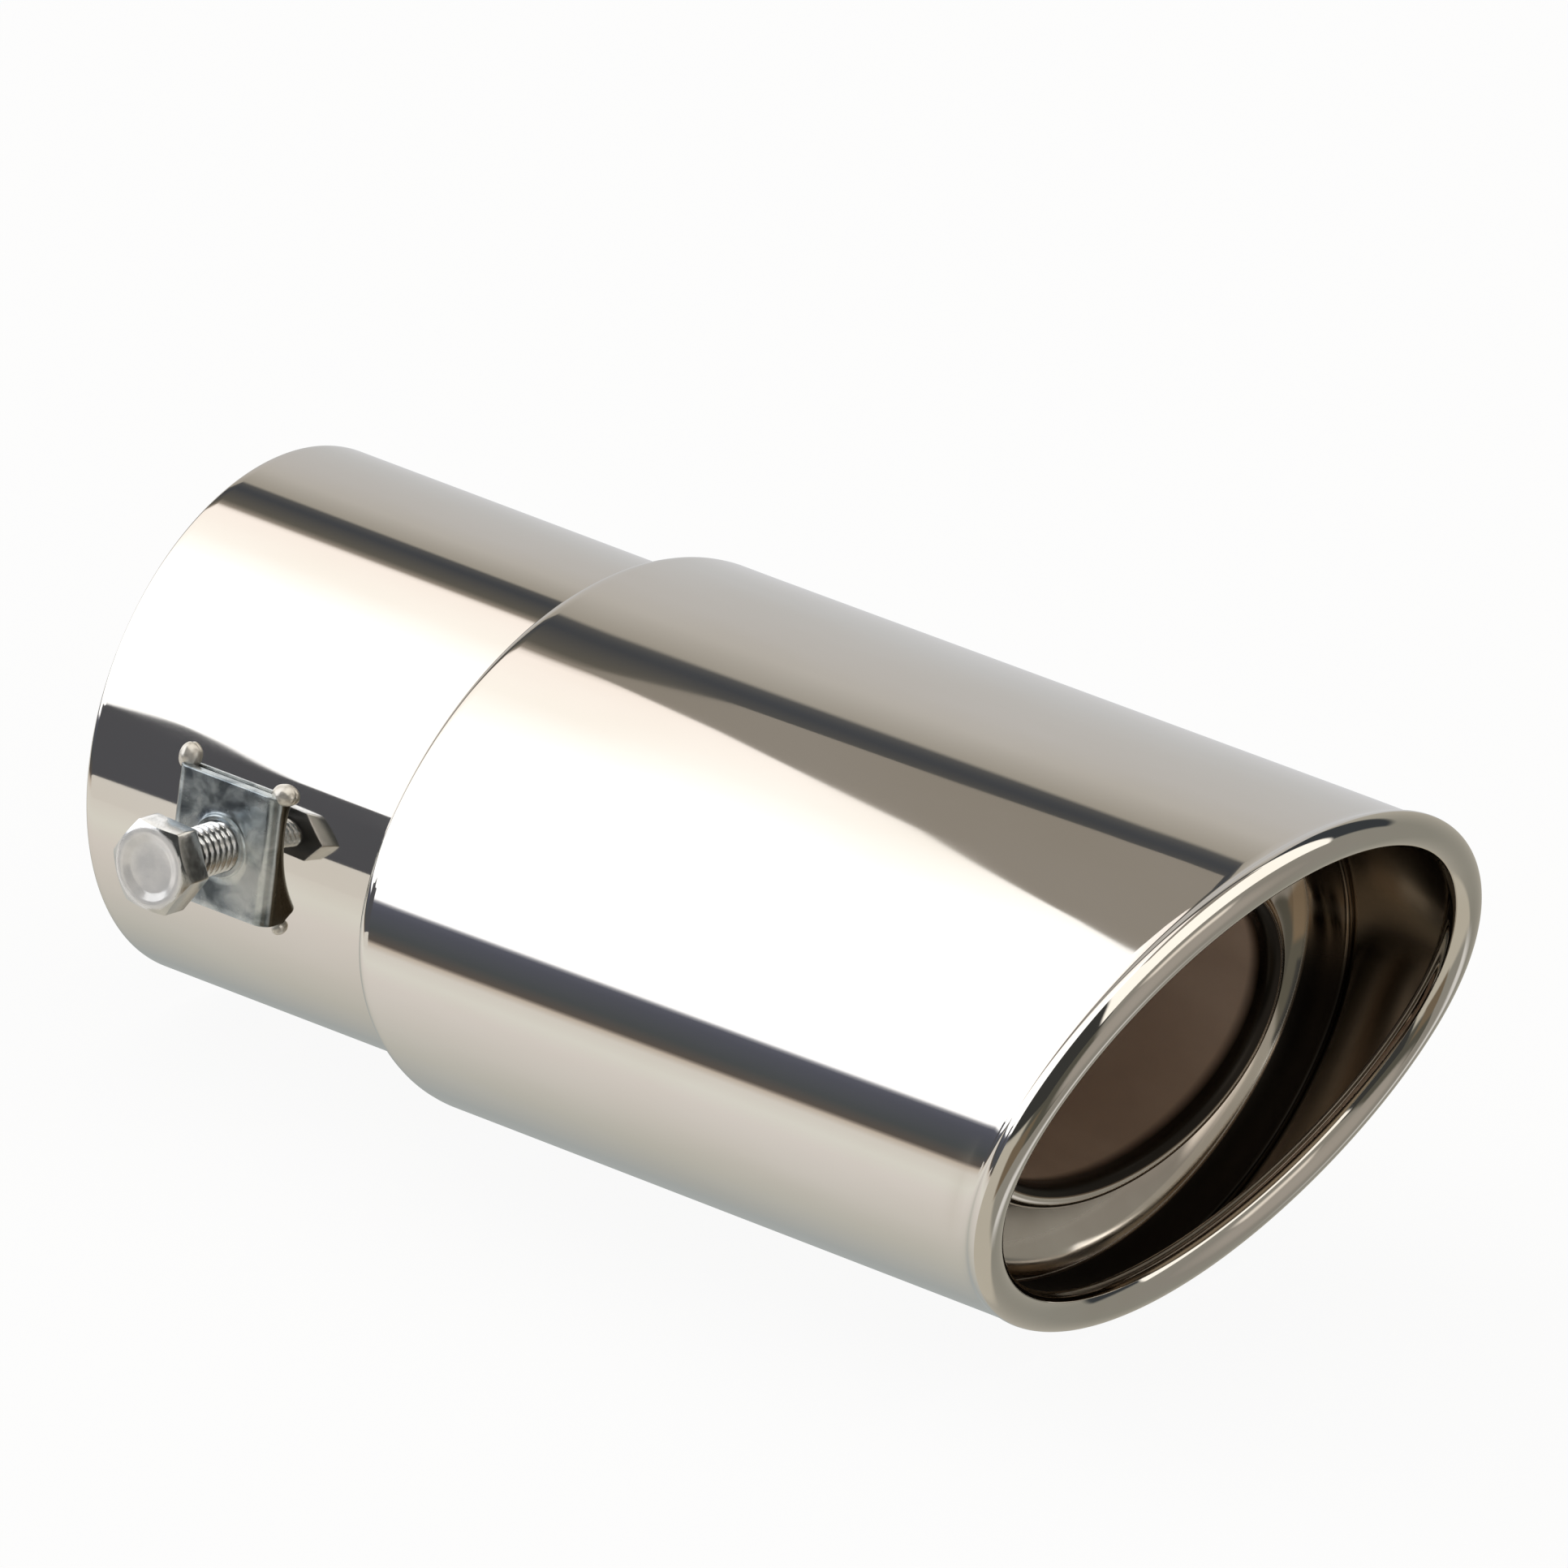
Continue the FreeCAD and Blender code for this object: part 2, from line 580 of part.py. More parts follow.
# Tack welds: rounded lumps at the legs' corners, lying on the collar and against the legs
def make_tack_welds(bracket):
    collar_blank = doc.addObject("Part::Cylinder", "collar_blank_for_welds")
    collar_blank.Placement = Placement(Vector(0, 0, 0), Rotation(Vector(0, 1, 0), 90))
    collar_blank.setExpression("Radius", "sizes.collar_diameter / 2")
    collar_blank.setExpression("Height", "sizes.collar_length")

    lumps = []
    corners = (
        ("weld_rear_top", -1, 1), ("weld_front_top", 1, 1),
        ("weld_rear_bottom", -1, -1), ("weld_front_bottom", 1, -1),
    )
    centre_y, centre_z = collar_centre_in_bracket()
    for alias, along, upward in corners:
        lump = doc.addObject("Part::Ellipsoid", alias)
        lump.setExpression("Radius1", f"sizes.{alias} * sizes.weld_stretch_up")
        lump.setExpression("Radius2", f"sizes.{alias} * sizes.weld_stretch_along")
        lump.setExpression("Radius3", f"sizes.{alias} * sizes.weld_stretch_out")
        x = along * (size["bracket_width"] - size["bracket_wall"]) / 2
        z = upward * (size["bracket_height"] / 2 + size[alias] * size["weld_reach"])
        surface = centre_y - math.sqrt((size["collar_diameter"] / 2) ** 2 - (z - centre_z) ** 2)
        y = surface - size[alias] * size["weld_stand"]
        lump.Placement = bracket_placement().multiply(Placement(Vector(x, y, z), Rotation()))
        lumps.append(lump)

    joined = doc.addObject("Part::MultiFuse", "weld_lumps")
    joined.Shapes = lumps
    on_collar = doc.addObject("Part::Cut", "welds_on_collar")
    on_collar.Base = joined
    on_collar.Tool = collar_blank
    welds = doc.addObject("Part::Cut", "bracket_tack_welds")
    welds.Base = on_collar
    welds.Tool = bracket
    welds.Label = "bracket_tack_welds"
    return welds


# Clamp bolt: hexagon head with a dished top and a plain shank at its thread's outside diameter
def add_hexagon(sketch):
    corner_radius = size["head_flats"] / math.sqrt(3)
    turn = math.radians(size["head_turn"] - 30)
    angles = [turn + corner * math.pi / 3 for corner in range(6)]
    corners = [corner_radius * Vector(math.cos(angle), math.sin(angle), 0) for angle in angles]
    sides = [
        sketch.addGeometry(Part.LineSegment(start, end))
        for start, end in zip(corners, corners[1:] + corners[:1])
    ]
    guide = sketch.addGeometry(Part.Circle(Vector(0, 0, 0), Vector(0, 0, 1), corner_radius), True)
    centre_on_origin(sketch, guide)
    for this, following in zip(sides, sides[1:] + sides[:1]):
        sketch.addConstraint(Sketcher.Constraint("Coincident", this, 2, following, 1))
    for side in sides:
        sketch.addConstraint(Sketcher.Constraint("PointOnObject", side, 1, guide))
    for side in sides[1:]:
        sketch.addConstraint(Sketcher.Constraint("Equal", sides[0], side))
    bind(sketch, "Radius", (guide,), "corner_radius", corner_radius, "sizes.head_flats / sqrt(3)")
    bind(sketch, "Angle", (-1, 1, sides[0], 1), "head_angle", turn + 2 * math.pi / 3,
         "(sizes.head_turn + 90) * 1 deg")


def add_turned_profile(sketch, corners, names):
    """A closed outline of straight sides; each corner's distances are bound by the given texts."""
    points = [Vector(across, along, 0) for across, along in corners]
    sides = [
        sketch.addGeometry(Part.LineSegment(start, end))
        for start, end in zip(points, points[1:] + points[:1])
    ]
    for this, following in zip(sides, sides[1:] + sides[:1]):
        sketch.addConstraint(Sketcher.Constraint("Coincident", this, 2, following, 1))
    for number, (side, point, (across_text, along_text)) in enumerate(zip(sides, points, names)):
        bind(sketch, "DistanceX", (-1, 1, side, 1), f"across_{number}", point.x, across_text)
        bind(sketch, "DistanceY", (side, 1, -1, 1), f"along_{number}", -point.y, along_text)


def make_clamp_bolt():
    body = new_body("clamp_bolt")
    seat = size["bracket_face"] + size["boss_rise"] + size["bolt_standoff"]
    seat_text = "sizes.bracket_face + sizes.boss_rise + sizes.bolt_standoff"

    hexagon = new_sketch(body, "head_outline", "XZ_Plane")
    shift_along_normal(hexagon, seat_text)
    add_hexagon(hexagon)
    pad(body, "head", hexagon, "sizes.head_height")

    # The crown cone takes the corners off the head's outer end
    corner_radius = size["head_flats"] / math.sqrt(3)
    top = seat + size["head_height"]
    top_text = f"{seat_text} + sizes.head_height"
    crown = new_sketch(body, "crown_section", "XY_Plane")
    outside = corner_radius + size["head_crown_margin"]
    fall = (outside - size["head_crown_radius"]) * math.tan(math.radians(size["head_crown_angle"]))
    outside_text = "sizes.head_flats / sqrt(3) + sizes.head_crown_margin"
    fall_text = f"({outside_text} - sizes.head_crown_radius) * tan(sizes.head_crown_angle * 1 deg)"
    add_turned_profile(
        crown,
        ((size["head_crown_radius"], -top), (outside, -(top - fall)), (outside, -top)),
        (("sizes.head_crown_radius", top_text), (outside_text, f"{top_text} - {fall_text}"),
         (outside_text, top_text)),
    )
    groove(body, "head_crown", crown)

    dish = new_sketch(body, "dish_section", "XY_Plane")
    depth_text = f"{top_text} - sizes.head_dish_depth"
    depth = top - size["head_dish_depth"]
    add_turned_profile(
        dish,
        ((0.0, -top), (size["head_dish_radius"], -top), (size["head_dish_floor"], -depth), (0.0, -depth)),
        (("0", top_text), ("sizes.head_dish_radius", top_text), ("sizes.head_dish_floor", depth_text),
         ("0", depth_text)),
    )
    groove(body, "head_dish", dish)

    shank_circle = new_sketch(body, "shank_circle", "XZ_Plane")
    shift_along_normal(shank_circle, seat_text)
    centre_on_origin(shank_circle, add_circle(shank_circle, "shank", size["bolt_radius"],
                                              "sizes.bolt_radius"))
    shank = pad(body, "shank", shank_circle, "sizes.bolt_length", reverse=True)

    tip_edges = edges_where(shank, edge_at("Y", -(seat - size["bolt_length"])))
    tip = body.newObject("PartDesign::Chamfer", "tip_chamfer")
    tip.Base = tip_edges
    tip.setExpression("Size", "sizes.bolt_tip_chamfer")
    place_on_collar(body)
    return body


bracket_body = make_clamp_bracket()
nodes = [
    make_inlet_collar(),
    make_outer_shell(),
    make_inner_liner(),
    bracket_body,
    make_tack_welds(bracket_body),
    make_clamp_bolt(),
]
doc.recompute()

for item in doc.Objects:
    for state in ("Invalid", "Error"):
        if state in item.State:
            raise RuntimeError(f"{item.Name} is {state}")

os.makedirs("parts", exist_ok=True)
for node in nodes:
    shape = node.Shape
    if shape.isNull() or not shape.isValid():
        raise RuntimeError(f"{node.Label} has no valid shape")
    shape.exportStep(f"parts/{node.Label}.step")
    box = shape.BoundBox
    print(f"{node.Label}: {len(shape.Solids)} solid(s), {shape.Volume / 1000:.3f} cm3, "
          f"X {box.XMin:.1f}..{box.XMax:.1f} Y {box.YMin:.1f}..{box.YMax:.1f} "
          f"Z {box.ZMin:.1f}..{box.ZMax:.1f}")
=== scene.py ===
import math

import bmesh
import bpy
from mathutils import Matrix, Vector, noise


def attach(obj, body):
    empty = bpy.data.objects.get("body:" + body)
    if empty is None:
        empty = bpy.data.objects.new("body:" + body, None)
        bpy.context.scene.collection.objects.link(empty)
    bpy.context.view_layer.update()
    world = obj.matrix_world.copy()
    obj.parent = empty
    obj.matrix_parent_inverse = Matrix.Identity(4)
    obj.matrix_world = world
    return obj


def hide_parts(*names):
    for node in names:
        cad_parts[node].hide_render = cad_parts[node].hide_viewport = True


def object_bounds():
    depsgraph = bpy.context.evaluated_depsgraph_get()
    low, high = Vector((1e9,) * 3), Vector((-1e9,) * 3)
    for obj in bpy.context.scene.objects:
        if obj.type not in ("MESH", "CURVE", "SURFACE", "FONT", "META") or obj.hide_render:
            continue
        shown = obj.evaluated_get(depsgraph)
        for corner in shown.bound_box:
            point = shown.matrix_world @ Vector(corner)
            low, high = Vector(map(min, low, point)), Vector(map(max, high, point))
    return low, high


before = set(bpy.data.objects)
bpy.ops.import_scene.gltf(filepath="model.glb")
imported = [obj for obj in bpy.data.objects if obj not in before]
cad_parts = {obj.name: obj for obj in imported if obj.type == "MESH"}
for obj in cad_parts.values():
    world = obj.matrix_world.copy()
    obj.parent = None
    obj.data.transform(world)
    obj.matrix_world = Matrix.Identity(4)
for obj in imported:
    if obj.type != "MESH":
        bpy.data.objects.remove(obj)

# Exhaust tip. Sizes are in millimetres, in the frame of the CAD model: +X along the tube to the mouth,
# +Z up, the bracket on the -Y side. Meshes are made in millimetres and scaled to metres when stored.
MM = 0.001
cad_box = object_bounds()

# Inlet collar. Its clearance hole lies in a window of the wall, WINDOW_COLUMNS to each side of -Y
COLLAR_RADIUS = 31.5
COLLAR_WALL = 1.0
COLLAR_LENGTH = 68.0
COLLAR_EDGE_ROUND = 0.3
COLLAR_EDGE_SUPPORT = 0.1
COLLAR_COLUMNS = 384
COLLAR_ROWS = 66
COLLAR_MARGIN = 1.0
CLEARANCE_RADIUS = 3.6
WINDOW_X = (15.0, 28.0)
WINDOW_COLUMNS = 10
WINDOW_RINGS = 6

# Oval shell; an angle round the oval is the angle of its outward normal, from -Y towards +Z
SHELL_START = 48.7
SHELL_HALF_WIDTH = 42.6
SHELL_HALF_HEIGHT = 32.6
SHELL_ROUNDNESS = 0.18
SHELL_WALL = 0.9
SHELL_REAR_ROUND = 1.5
SHELL_COLUMNS = 480
SHELL_OUTER_ROWS = 24
SHELL_INNER_ROWS = 20
SHELL_REAR_ROWS = 2
SHELL_CORNER_STEP = 0.6

# Towards the mouth the shell grows higher and a little narrower, and rises, from rolling the rim
FLARE_START = 55.0
FLARE_END = 141.2
FLARE_HEIGHT = 0.65
FLARE_LIFT = 0.15
FLARE_WIDTH = -0.8

# Slanted mouth and rolled rim
MOUTH_STATION = 141.2
SLASH = math.radians(20.6)
RIM_RADIUS = 2.1
RIM_WALL = 0.9
RIM_INSET = 1.55
RIM_LOW_SWELL = 0.25
RIM_LOW_INSET = 0.7
RIM_HOOK_END = math.radians(-138.0)
RIM_ROWS = 34
RIM_JOIN_STEP = math.radians(4.0)

# Rows beside the crease between wall and rim: share of the way across to it, and distance behind it
CREASE_STEPS = ((0.35, 1.2), (0.85, 0.35))
CREASE_MARGIN = 2.5
INSIDE_MARGIN = 0.8

# Inner liner
LINER_WALL = 0.9
LINER_GAP = 0.05
LINER_FRONT = 127.3
LINER_FLANGE = 0.6
LINER_CHAMFER = 0.2
BOWL_RADIUS = 9.0
BOWL_INNER_RADIUS = 2.6
THROAT_INSET = 14.4
THROAT_FRONT = 127.2
THROAT_LIP_RADIUS = 1.5
THROAT_LENGTH = 26.0
THROAT_MARGIN = 0.5

# Bracket, in a frame of its own that leans on the collar
BRACKET_STATION = 21.2
BRACKET_DROP = -3.2
BRACKET_TILT = math.radians(-5.0)
BRACKET_PLACE = (
    Matrix.Translation((BRACKET_STATION, 0.0, BRACKET_DROP)) @ Matrix.Rotation(BRACKET_TILT, 4, "X")
)
BRACKET_WIDTH = 15.3
BRACKET_HEIGHT = 15.7
BRACKET_FACE = -33.25
BRACKET_WALL = 1.2
BRACKET_BEND = 1.7
BRACKET_EDGE_ROUND = 0.2
FLAT_HALF = BRACKET_WIDTH / 2 - BRACKET_BEND
BEND_CENTRE = BRACKET_FACE + BRACKET_BEND
PLATE_COLUMNS = 24
PLATE_LINES = 32
PLATE_RINGS = 6
BEND_STEPS = 12
LEG_STEPS = 6
EDGE_STEPS = 4

# The plate round its hole, as radius and height over the plate: the raised ring outside, flat inside
BOSS_RADIUS = 3.7
BOSS_RISE = 0.5
HOLE_RADIUS = 3.05
BOSS_FOOT = BOSS_RADIUS + 0.3
BOSS_RINGS = (
    (HOLE_RADIUS, BOSS_RISE - 0.1), (HOLE_RADIUS + 0.1, BOSS_RISE), (BOSS_RADIUS - 0.15, BOSS_RISE),
    (BOSS_RADIUS, BOSS_RISE - 0.12), (BOSS_RADIUS + 0.08, 0.1), (BOSS_FOOT, 0.0),
)
FLAT_RINGS = ((HOLE_RADIUS, 0.0), (BOSS_FOOT, 0.0))

# Bolt, in the bracket's frame
HEAD_SEAT = -42.15
HEAD_FLATS = 10.0
HEAD_HEIGHT = 4.0
HEAD_TOP = HEAD_SEAT - HEAD_HEIGHT
HEAD_TURN = math.radians(-3.0)
HEAD_CORNERS = 6
HEAD_CORNER_ROUND = 0.3
HEAD_CORNER_STEPS = 4
HEAD_FLAT_STEPS = 14
CROWN_RADIUS = 4.7
CROWN_SLOPE = math.tan(math.radians(30.0))
CROWN_SHARES = (0.3, 0.6, 0.9, 1.0)
SIDE_DROPS = (0.06, 0.2)
UNDERSIDE_ROUND = 0.15
UNDERSIDE_SCALE = 0.985
NECK_WIDTH = 0.35
BOLT_TIP = -31.75
BOLT_RADIUS = 3.0

# The head's face from its middle out to the crown: radius, and depth under the ring round the dish
DISH_RADIUS = 3.9
DISH_FLOOR = 3.1
DISH_DEPTH = 0.4
FACE_RINGS = (
    (0.05, DISH_DEPTH), (1.5, DISH_DEPTH), (DISH_FLOOR - 0.25, DISH_DEPTH),
    (DISH_FLOOR, DISH_DEPTH - 0.04), (DISH_FLOOR + 0.2, DISH_DEPTH - 0.14),
    (DISH_RADIUS - 0.12, 0.06), (DISH_RADIUS + 0.05, 0.0), (CROWN_RADIUS - 0.05, 0.0),
)

# Thread. Of the way from crest to root, the crest and the flank are given as shares
THREAD_DEPTH = 0.6
THREAD_PITCH = 1.0
THREAD_RINGS = 16
THREAD_CREST = 0.12
THREAD_FLANK = 0.72
THREAD_MEAN = 0.4
THREAD_FADE = 0.5
THREAD_GAP = 0.02
TIP_TAPER = 0.6

# Tack welds, rear and front at the top, then at the bottom: side, height in the bracket's frame, radii
WELDS = (
    (-1, 8.4, (1.3, 1.2, 1.65)), (1, 8.0, (1.6, 1.25, 1.25)),
    (-1, -8.6, (1.1, 1.1, 1.2)), (1, -8.5, (0.8, 0.85, 0.9)),
)
WELD_STAND = 0.2
WELD_ROWS = 28
WELD_COLUMNS = 48
WELD_POLE = 0.05
WELD_SWELL = 0.1
WELD_UNEVENNESS = 1.1
WELD_FIRST_SEED = 1.1
WELD_SEED_STEP = 7.3

# Finishes and painted light: each point of a piece carries one of these numbers or one between, except on
# the welds
BARE = 0.0
# Painted shade, in black, deep inside the tube
PAINTED_SHADE = 0.5
# Brown: soot inside the tube, and painted shade on the bracket's legs
BROWN = 1.0
# Painted highlight: a light line round the foot of the liner's bowl
PAINTED_HIGHLIGHT_LINE = 0.0
BRIGHT_FOOT = 0.1
DULL_FOOT = 0.2
# Painted reflection: a brown patch on the far side of the liner's bowl
PAINTED_REFLECTION_PATCH = 0.3
SATIN_FACE = 0.5
# Painted shade under the bolt's head
SHADED_UNDERSIDE = 1.0

# Where painted shade darkens the shell inside to black: behind this depth and below this height, each
# fading in over a length
SHELL_SHADE_DEPTH = 4.0
SHELL_DEPTH_FADE = 3.0
SHELL_SHADE_HEIGHT = 3.0
SHELL_HEIGHT_FADE = 4.0
SHELL_SHADE_SHARE = 0.45

# Finishes and painted light of the liner by depth behind the throat's front: painted shade, a painted
# highlight line and soot, and a painted reflection patch in brown on the far side by its angle
LIP_EDGE = 0.05
LIP_FADE = 0.3
FILM_DEPTH = 2.0
FILM_FADE = 1.0
HIGHLIGHT_LINE_DEPTH = 5.2
HIGHLIGHT_LINE_WIDTH = 0.9
SHADE_FADE = 0.5
DULL_DEPTH = 7.6
DULL_FADE = 0.5
PATCH_ANGLE = math.radians(172.0)
PATCH_SHARPNESS = 40
PATCH_SHARE = 0.22

WHITE = (1.0, 1.0, 1.0)
# The black tint of the polished steel is painted shade
POLISHED_TINTS = ((BARE, (0.82, 0.80, 0.77)), (PAINTED_SHADE, (0.07, 0.06, 0.05)), (BROWN, (0.46, 0.39, 0.32)))
# Among the liner's tints are a painted highlight, a painted reflection and painted shade
LINER_TINTS = (
    (PAINTED_HIGHLIGHT_LINE, (1.0, 0.94, 0.86)),
    (BRIGHT_FOOT, (0.78, 0.74, 0.69)),
    (DULL_FOOT, (0.95, 0.92, 0.86)),
    (PAINTED_REFLECTION_PATCH, (0.42, 0.33, 0.25)),
    (PAINTED_SHADE, (0.04, 0.036, 0.032)),
    (BROWN, (0.69, 0.55, 0.45)),
)
LINER_DULLNESS = ((BRIGHT_FOOT, 0.0), (DULL_FOOT, 0.3), (PAINTED_REFLECTION_PATCH, 0.02), (PAINTED_SHADE, 0.23), (0.6, 0.35))
ZINC_TINTS = (
    (0.38, (0.24, 0.28, 0.31)), (0.52, (0.50, 0.56, 0.60)),
    (0.70, (0.74, 0.79, 0.80)), (0.85, (0.86, 0.89, 0.88)),
)
# Painted shade on the bracket's legs
ZINC_LEG_SHADE = (0.085, 0.072, 0.05)
WELD_TINTS = ((0.35, (0.72, 0.69, 0.63)), (0.65, (0.90, 0.88, 0.84)))
# The last tint is painted shade under the head
BOLT_TINTS = (
    (BARE, (0.88, 0.89, 0.90)), (SATIN_FACE, (0.96, 0.96, 0.97)), (SHADED_UNDERSIDE, (0.06, 0.06, 0.06)),
)

# A painted highlight on the zinc of the bracket's plate: its middle, and its core and full size in metres
PAINTED_HIGHLIGHT_CENTRE = (25.6, -33.0, -2.2)
PAINTED_HIGHLIGHT_CORE = 0.001
PAINTED_HIGHLIGHT_SIZE = 0.008

# Camera, placed by the outlines of the collar, the shell and the mouth; its clip distances are metres
CAMERA_AZIMUTH = math.radians(37.5624)
CAMERA_ELEVATION = math.radians(23.5702)
CAMERA_ROLL = math.radians(3.623)
CAMERA_DISTANCE = 6758.2
CAMERA_AIM = Vector((73.91, 2.72, 13.40))
CAMERA_CLIP = (0.5, 50.0)
IMAGE_SIZE = 1932
FOCAL_PIXELS = 73240.6
SENSOR = 36.0

# Studio. The straight walls mirror what lies behind and beside the tube, given here as bands round the
# tube's axis: degrees from -Y towards +Z, with the radiance there.
STUDIO_BANDS = (
    (-151, (0.39, 0.41, 0.40)), (-128, (0.39, 0.41, 0.40)), (-116, (0.45, 0.455, 0.43)),
    (-98, (0.555, 0.543, 0.493)), (-76, (0.68, 0.648, 0.60)), (-54, (0.77, 0.725, 0.68)),
    (-43, (0.805, 0.787, 0.72)), (-33, (0.76, 0.72, 0.66)), (-28.5, (0.60, 0.52, 0.44)),
    (-26.5, (0.12, 0.10, 0.085)), (-18, (0.078, 0.086, 0.09)), (-6, (0.095, 0.10, 0.125)),
    (-0.8, (0.12, 0.125, 0.16)), (0.4, (1.35, 1.35, 1.38)), (10, (1.5, 1.5, 1.5)),
    (74, (1.5, 1.5, 1.5)), (92, (1.25, 1.2, 1.13)), (107.5, (1.2, 1.1, 1.03)),
    (108.8, (0.38, 0.33, 0.28)), (111.5, (0.13, 0.12, 0.10)), (121, (0.06, 0.065, 0.075)),
    (124.6, (0.10, 0.10, 0.10)), (125.8, (0.40, 0.37, 0.32)), (138, (0.55, 0.52, 0.48)),
    (150, (0.58, 0.56, 0.54)), (178, (0.60, 0.60, 0.60)), (205, (0.66, 0.66, 0.67)),
)
BAND_START = -151.0

# Ahead of the mouth the rim and the liner mirror the rest of the room: a pale room by its angle from -X,
# and panels in it. A panel is bounded by two angles from -X and by the angles round the axis of its left
# and right side, each given at the first and at the second of those. The last number is its softness.
ROOM_START = 59.0
ROOM_SOFTNESS = 1.5
ROOM_TONES = (
    (59, (0.45, 0.42, 0.36)), (105, (0.29, 0.28, 0.24)), (140, (0.29, 0.27, 0.235)),
    (156, (0.38, 0.345, 0.30)), (180, (0.40, 0.365, 0.32)),
)
ROOM_PANELS = (
    ("table", (0.53, 0.49, 0.41), (50, 108), (-112, -112), (-7, -7), 4.0),
    ("dark_low", (0.10, 0.095, 0.075), (112, 149), (-20, -88), (50, 14), 5.0),
    ("wood", (0.18, 0.137, 0.09), (104, 134), (-60, -58), (-22, -20), 4.0),
    ("dark_near", (0.045, 0.045, 0.042), (50, 126), (-6, -6), (70, 40), 2.0),
    ("dark_far", (0.045, 0.05, 0.055), (50, 112), (115, 140), (140, 172), 3.0),
    ("window", (1.28, 1.22, 1.12), (50, 120), (66, 36), (116, 144), 1.5),
    ("floor_glow", (0.9, 0.82, 0.72), (138, 152), (52, 56), (104, 110), 6.0),
    ("low_glow", (0.75, 0.73, 0.70), (110, 124), (-134, -134), (-104, -104), 5.0),
)

# A brown card above the far side, near enough that only the shell's top mirrors it
CARD_HEIGHT = 500.0
CARD_COLOUR = (0.31, 0.28, 0.24)
CARD_OUTLINE = (
    (-282, 215), (-289, 150), (-256, 106), (-212, 28), (-187, -52), (-150, -150),
    (-60, -150), (-60, 240), (-228, 230), (-249, 220),
)

# Two cards beside the near side, a dark one over a pale one, that only the collar mirrors
SIDE_DISTANCE = 400.0
DARK_COLOUR = (0.088, 0.089, 0.098)
DARK_TOP = (
    (-330, 50), (-275, 52), (-258, 58), (-253, 70), (-248, 82),
    (-240, 71), (-232, 54), (-226, 45), (-203, 45),
)
DARK_SIDE = ((-201, 14), (-204, -53), (-214, -120))
SEAM = ((-219, -140), (-236, -144), (-250, -148), (-277, -159), (-330, -175))
PALE_COLOUR = (0.74, 0.70, 0.64)
PALE_SIDE = ((-330, -246), (-247, -246), (-234, -205))

# White paper floor, which glows where the camera sees it so that the background stays white
FLOOR_HALF = 3000.0
FLOOR_COLOUR = (0.92, 0.92, 0.92)
FLOOR_GLOW = 0.93


# Camera
def make_camera():
    back = Vector((
        math.sin(CAMERA_AZIMUTH) * math.cos(CAMERA_ELEVATION),
        -math.cos(CAMERA_AZIMUTH) * math.cos(CAMERA_ELEVATION),
        math.sin(CAMERA_ELEVATION),
    ))
    level = Vector((math.cos(CAMERA_AZIMUTH), math.sin(CAMERA_AZIMUTH), 0.0))
    upright = back.cross(level)
    right = math.cos(CAMERA_ROLL) * level + math.sin(CAMERA_ROLL) * upright
    up = math.cos(CAMERA_ROLL) * upright - math.sin(CAMERA_ROLL) * level
    data = bpy.data.cameras.new("camera")
    data.sensor_width = SENSOR
    data.lens = FOCAL_PIXELS / IMAGE_SIZE * SENSOR
    data.clip_start, data.clip_end = CAMERA_CLIP
    camera = bpy.data.objects.new("camera", data)
    turn = Matrix((right, up, back)).transposed().to_4x4()
    camera.matrix_world = Matrix.Translation((CAMERA_AIM + back * CAMERA_DISTANCE) * MM) @ turn
    bpy.context.scene.collection.objects.link(camera)
    bpy.context.scene.camera = camera


# Number helpers
def clamp(value):
    return min(1.0, max(0.0, value))


def spread(start, end, count):
    return [start + (end - start) * step / count for step in range(count + 1)]


def circle_angles(count):
    return [2 * math.pi * step / count for step in range(count)]


# Shader helpers
def fill_socket(tree, socket, value):
    """Links another node's output to the socket, or sets the socket to a number or a colour."""
    if isinstance(value, bpy.types.NodeSocket):
        tree.links.new(value, socket)
    elif isinstance(value, tuple):
        socket.default_value = (*value, 1.0)
    else:
        socket.default_value = value


def blank_material(name):
    """A new material, its node tree and the output's surface socket."""
    material = bpy.data.materials.new(name)
    material.use_nodes = True
    tree = material.node_tree
    tree.nodes.clear()
    output = tree.nodes.new("ShaderNodeOutputMaterial")
    return material, tree, output.inputs["Surface"]


def new_material(name):
    material, tree, surface = blank_material(name)
    shader = tree.nodes.new("ShaderNodeBsdfPrincipled")
    tree.links.new(shader.outputs["BSDF"], surface)
    return material, tree, shader


def set_shader(tree, shader, colour, metallic, roughness):
    fill_socket(tree, shader.inputs["Base Color"], colour)
    fill_socket(tree, shader.inputs["Metallic"], metallic)
    fill_socket(tree, shader.inputs["Roughness"], roughness)


def mix_shaders(tree, share, first, second):
    node = tree.nodes.new("ShaderNodeMixShader")
    fill_socket(tree, node.inputs["Fac"], share)
    tree.links.new(first, node.inputs[1])
    tree.links.new(second, node.inputs[2])
    return node.outputs["Shader"]


def seen_by_camera(tree):
    path = tree.nodes.new("ShaderNodeLightPath")
    return path.outputs["Is Camera Ray"]


def math_node(tree, operation, *values):
    node = tree.nodes.new("ShaderNodeMath")
    node.operation = operation
    for socket, value in zip(node.inputs, values):
        fill_socket(tree, socket, value)
    return node.outputs["Value"]


def mix_colours(tree, share, base, colour, blend="MIX"):
    """Sockets 6 and 7 of the Mix node are its two colours, and its output 2 is the mixed colour."""
    node = tree.nodes.new("ShaderNodeMix")
    node.data_type = "RGBA"
    node.blend_type = blend
    fill_socket(tree, node.inputs["Factor"], share)
    fill_socket(tree, node.inputs[6], base)
    fill_socket(tree, node.inputs[7], colour)
    return node.outputs[2]


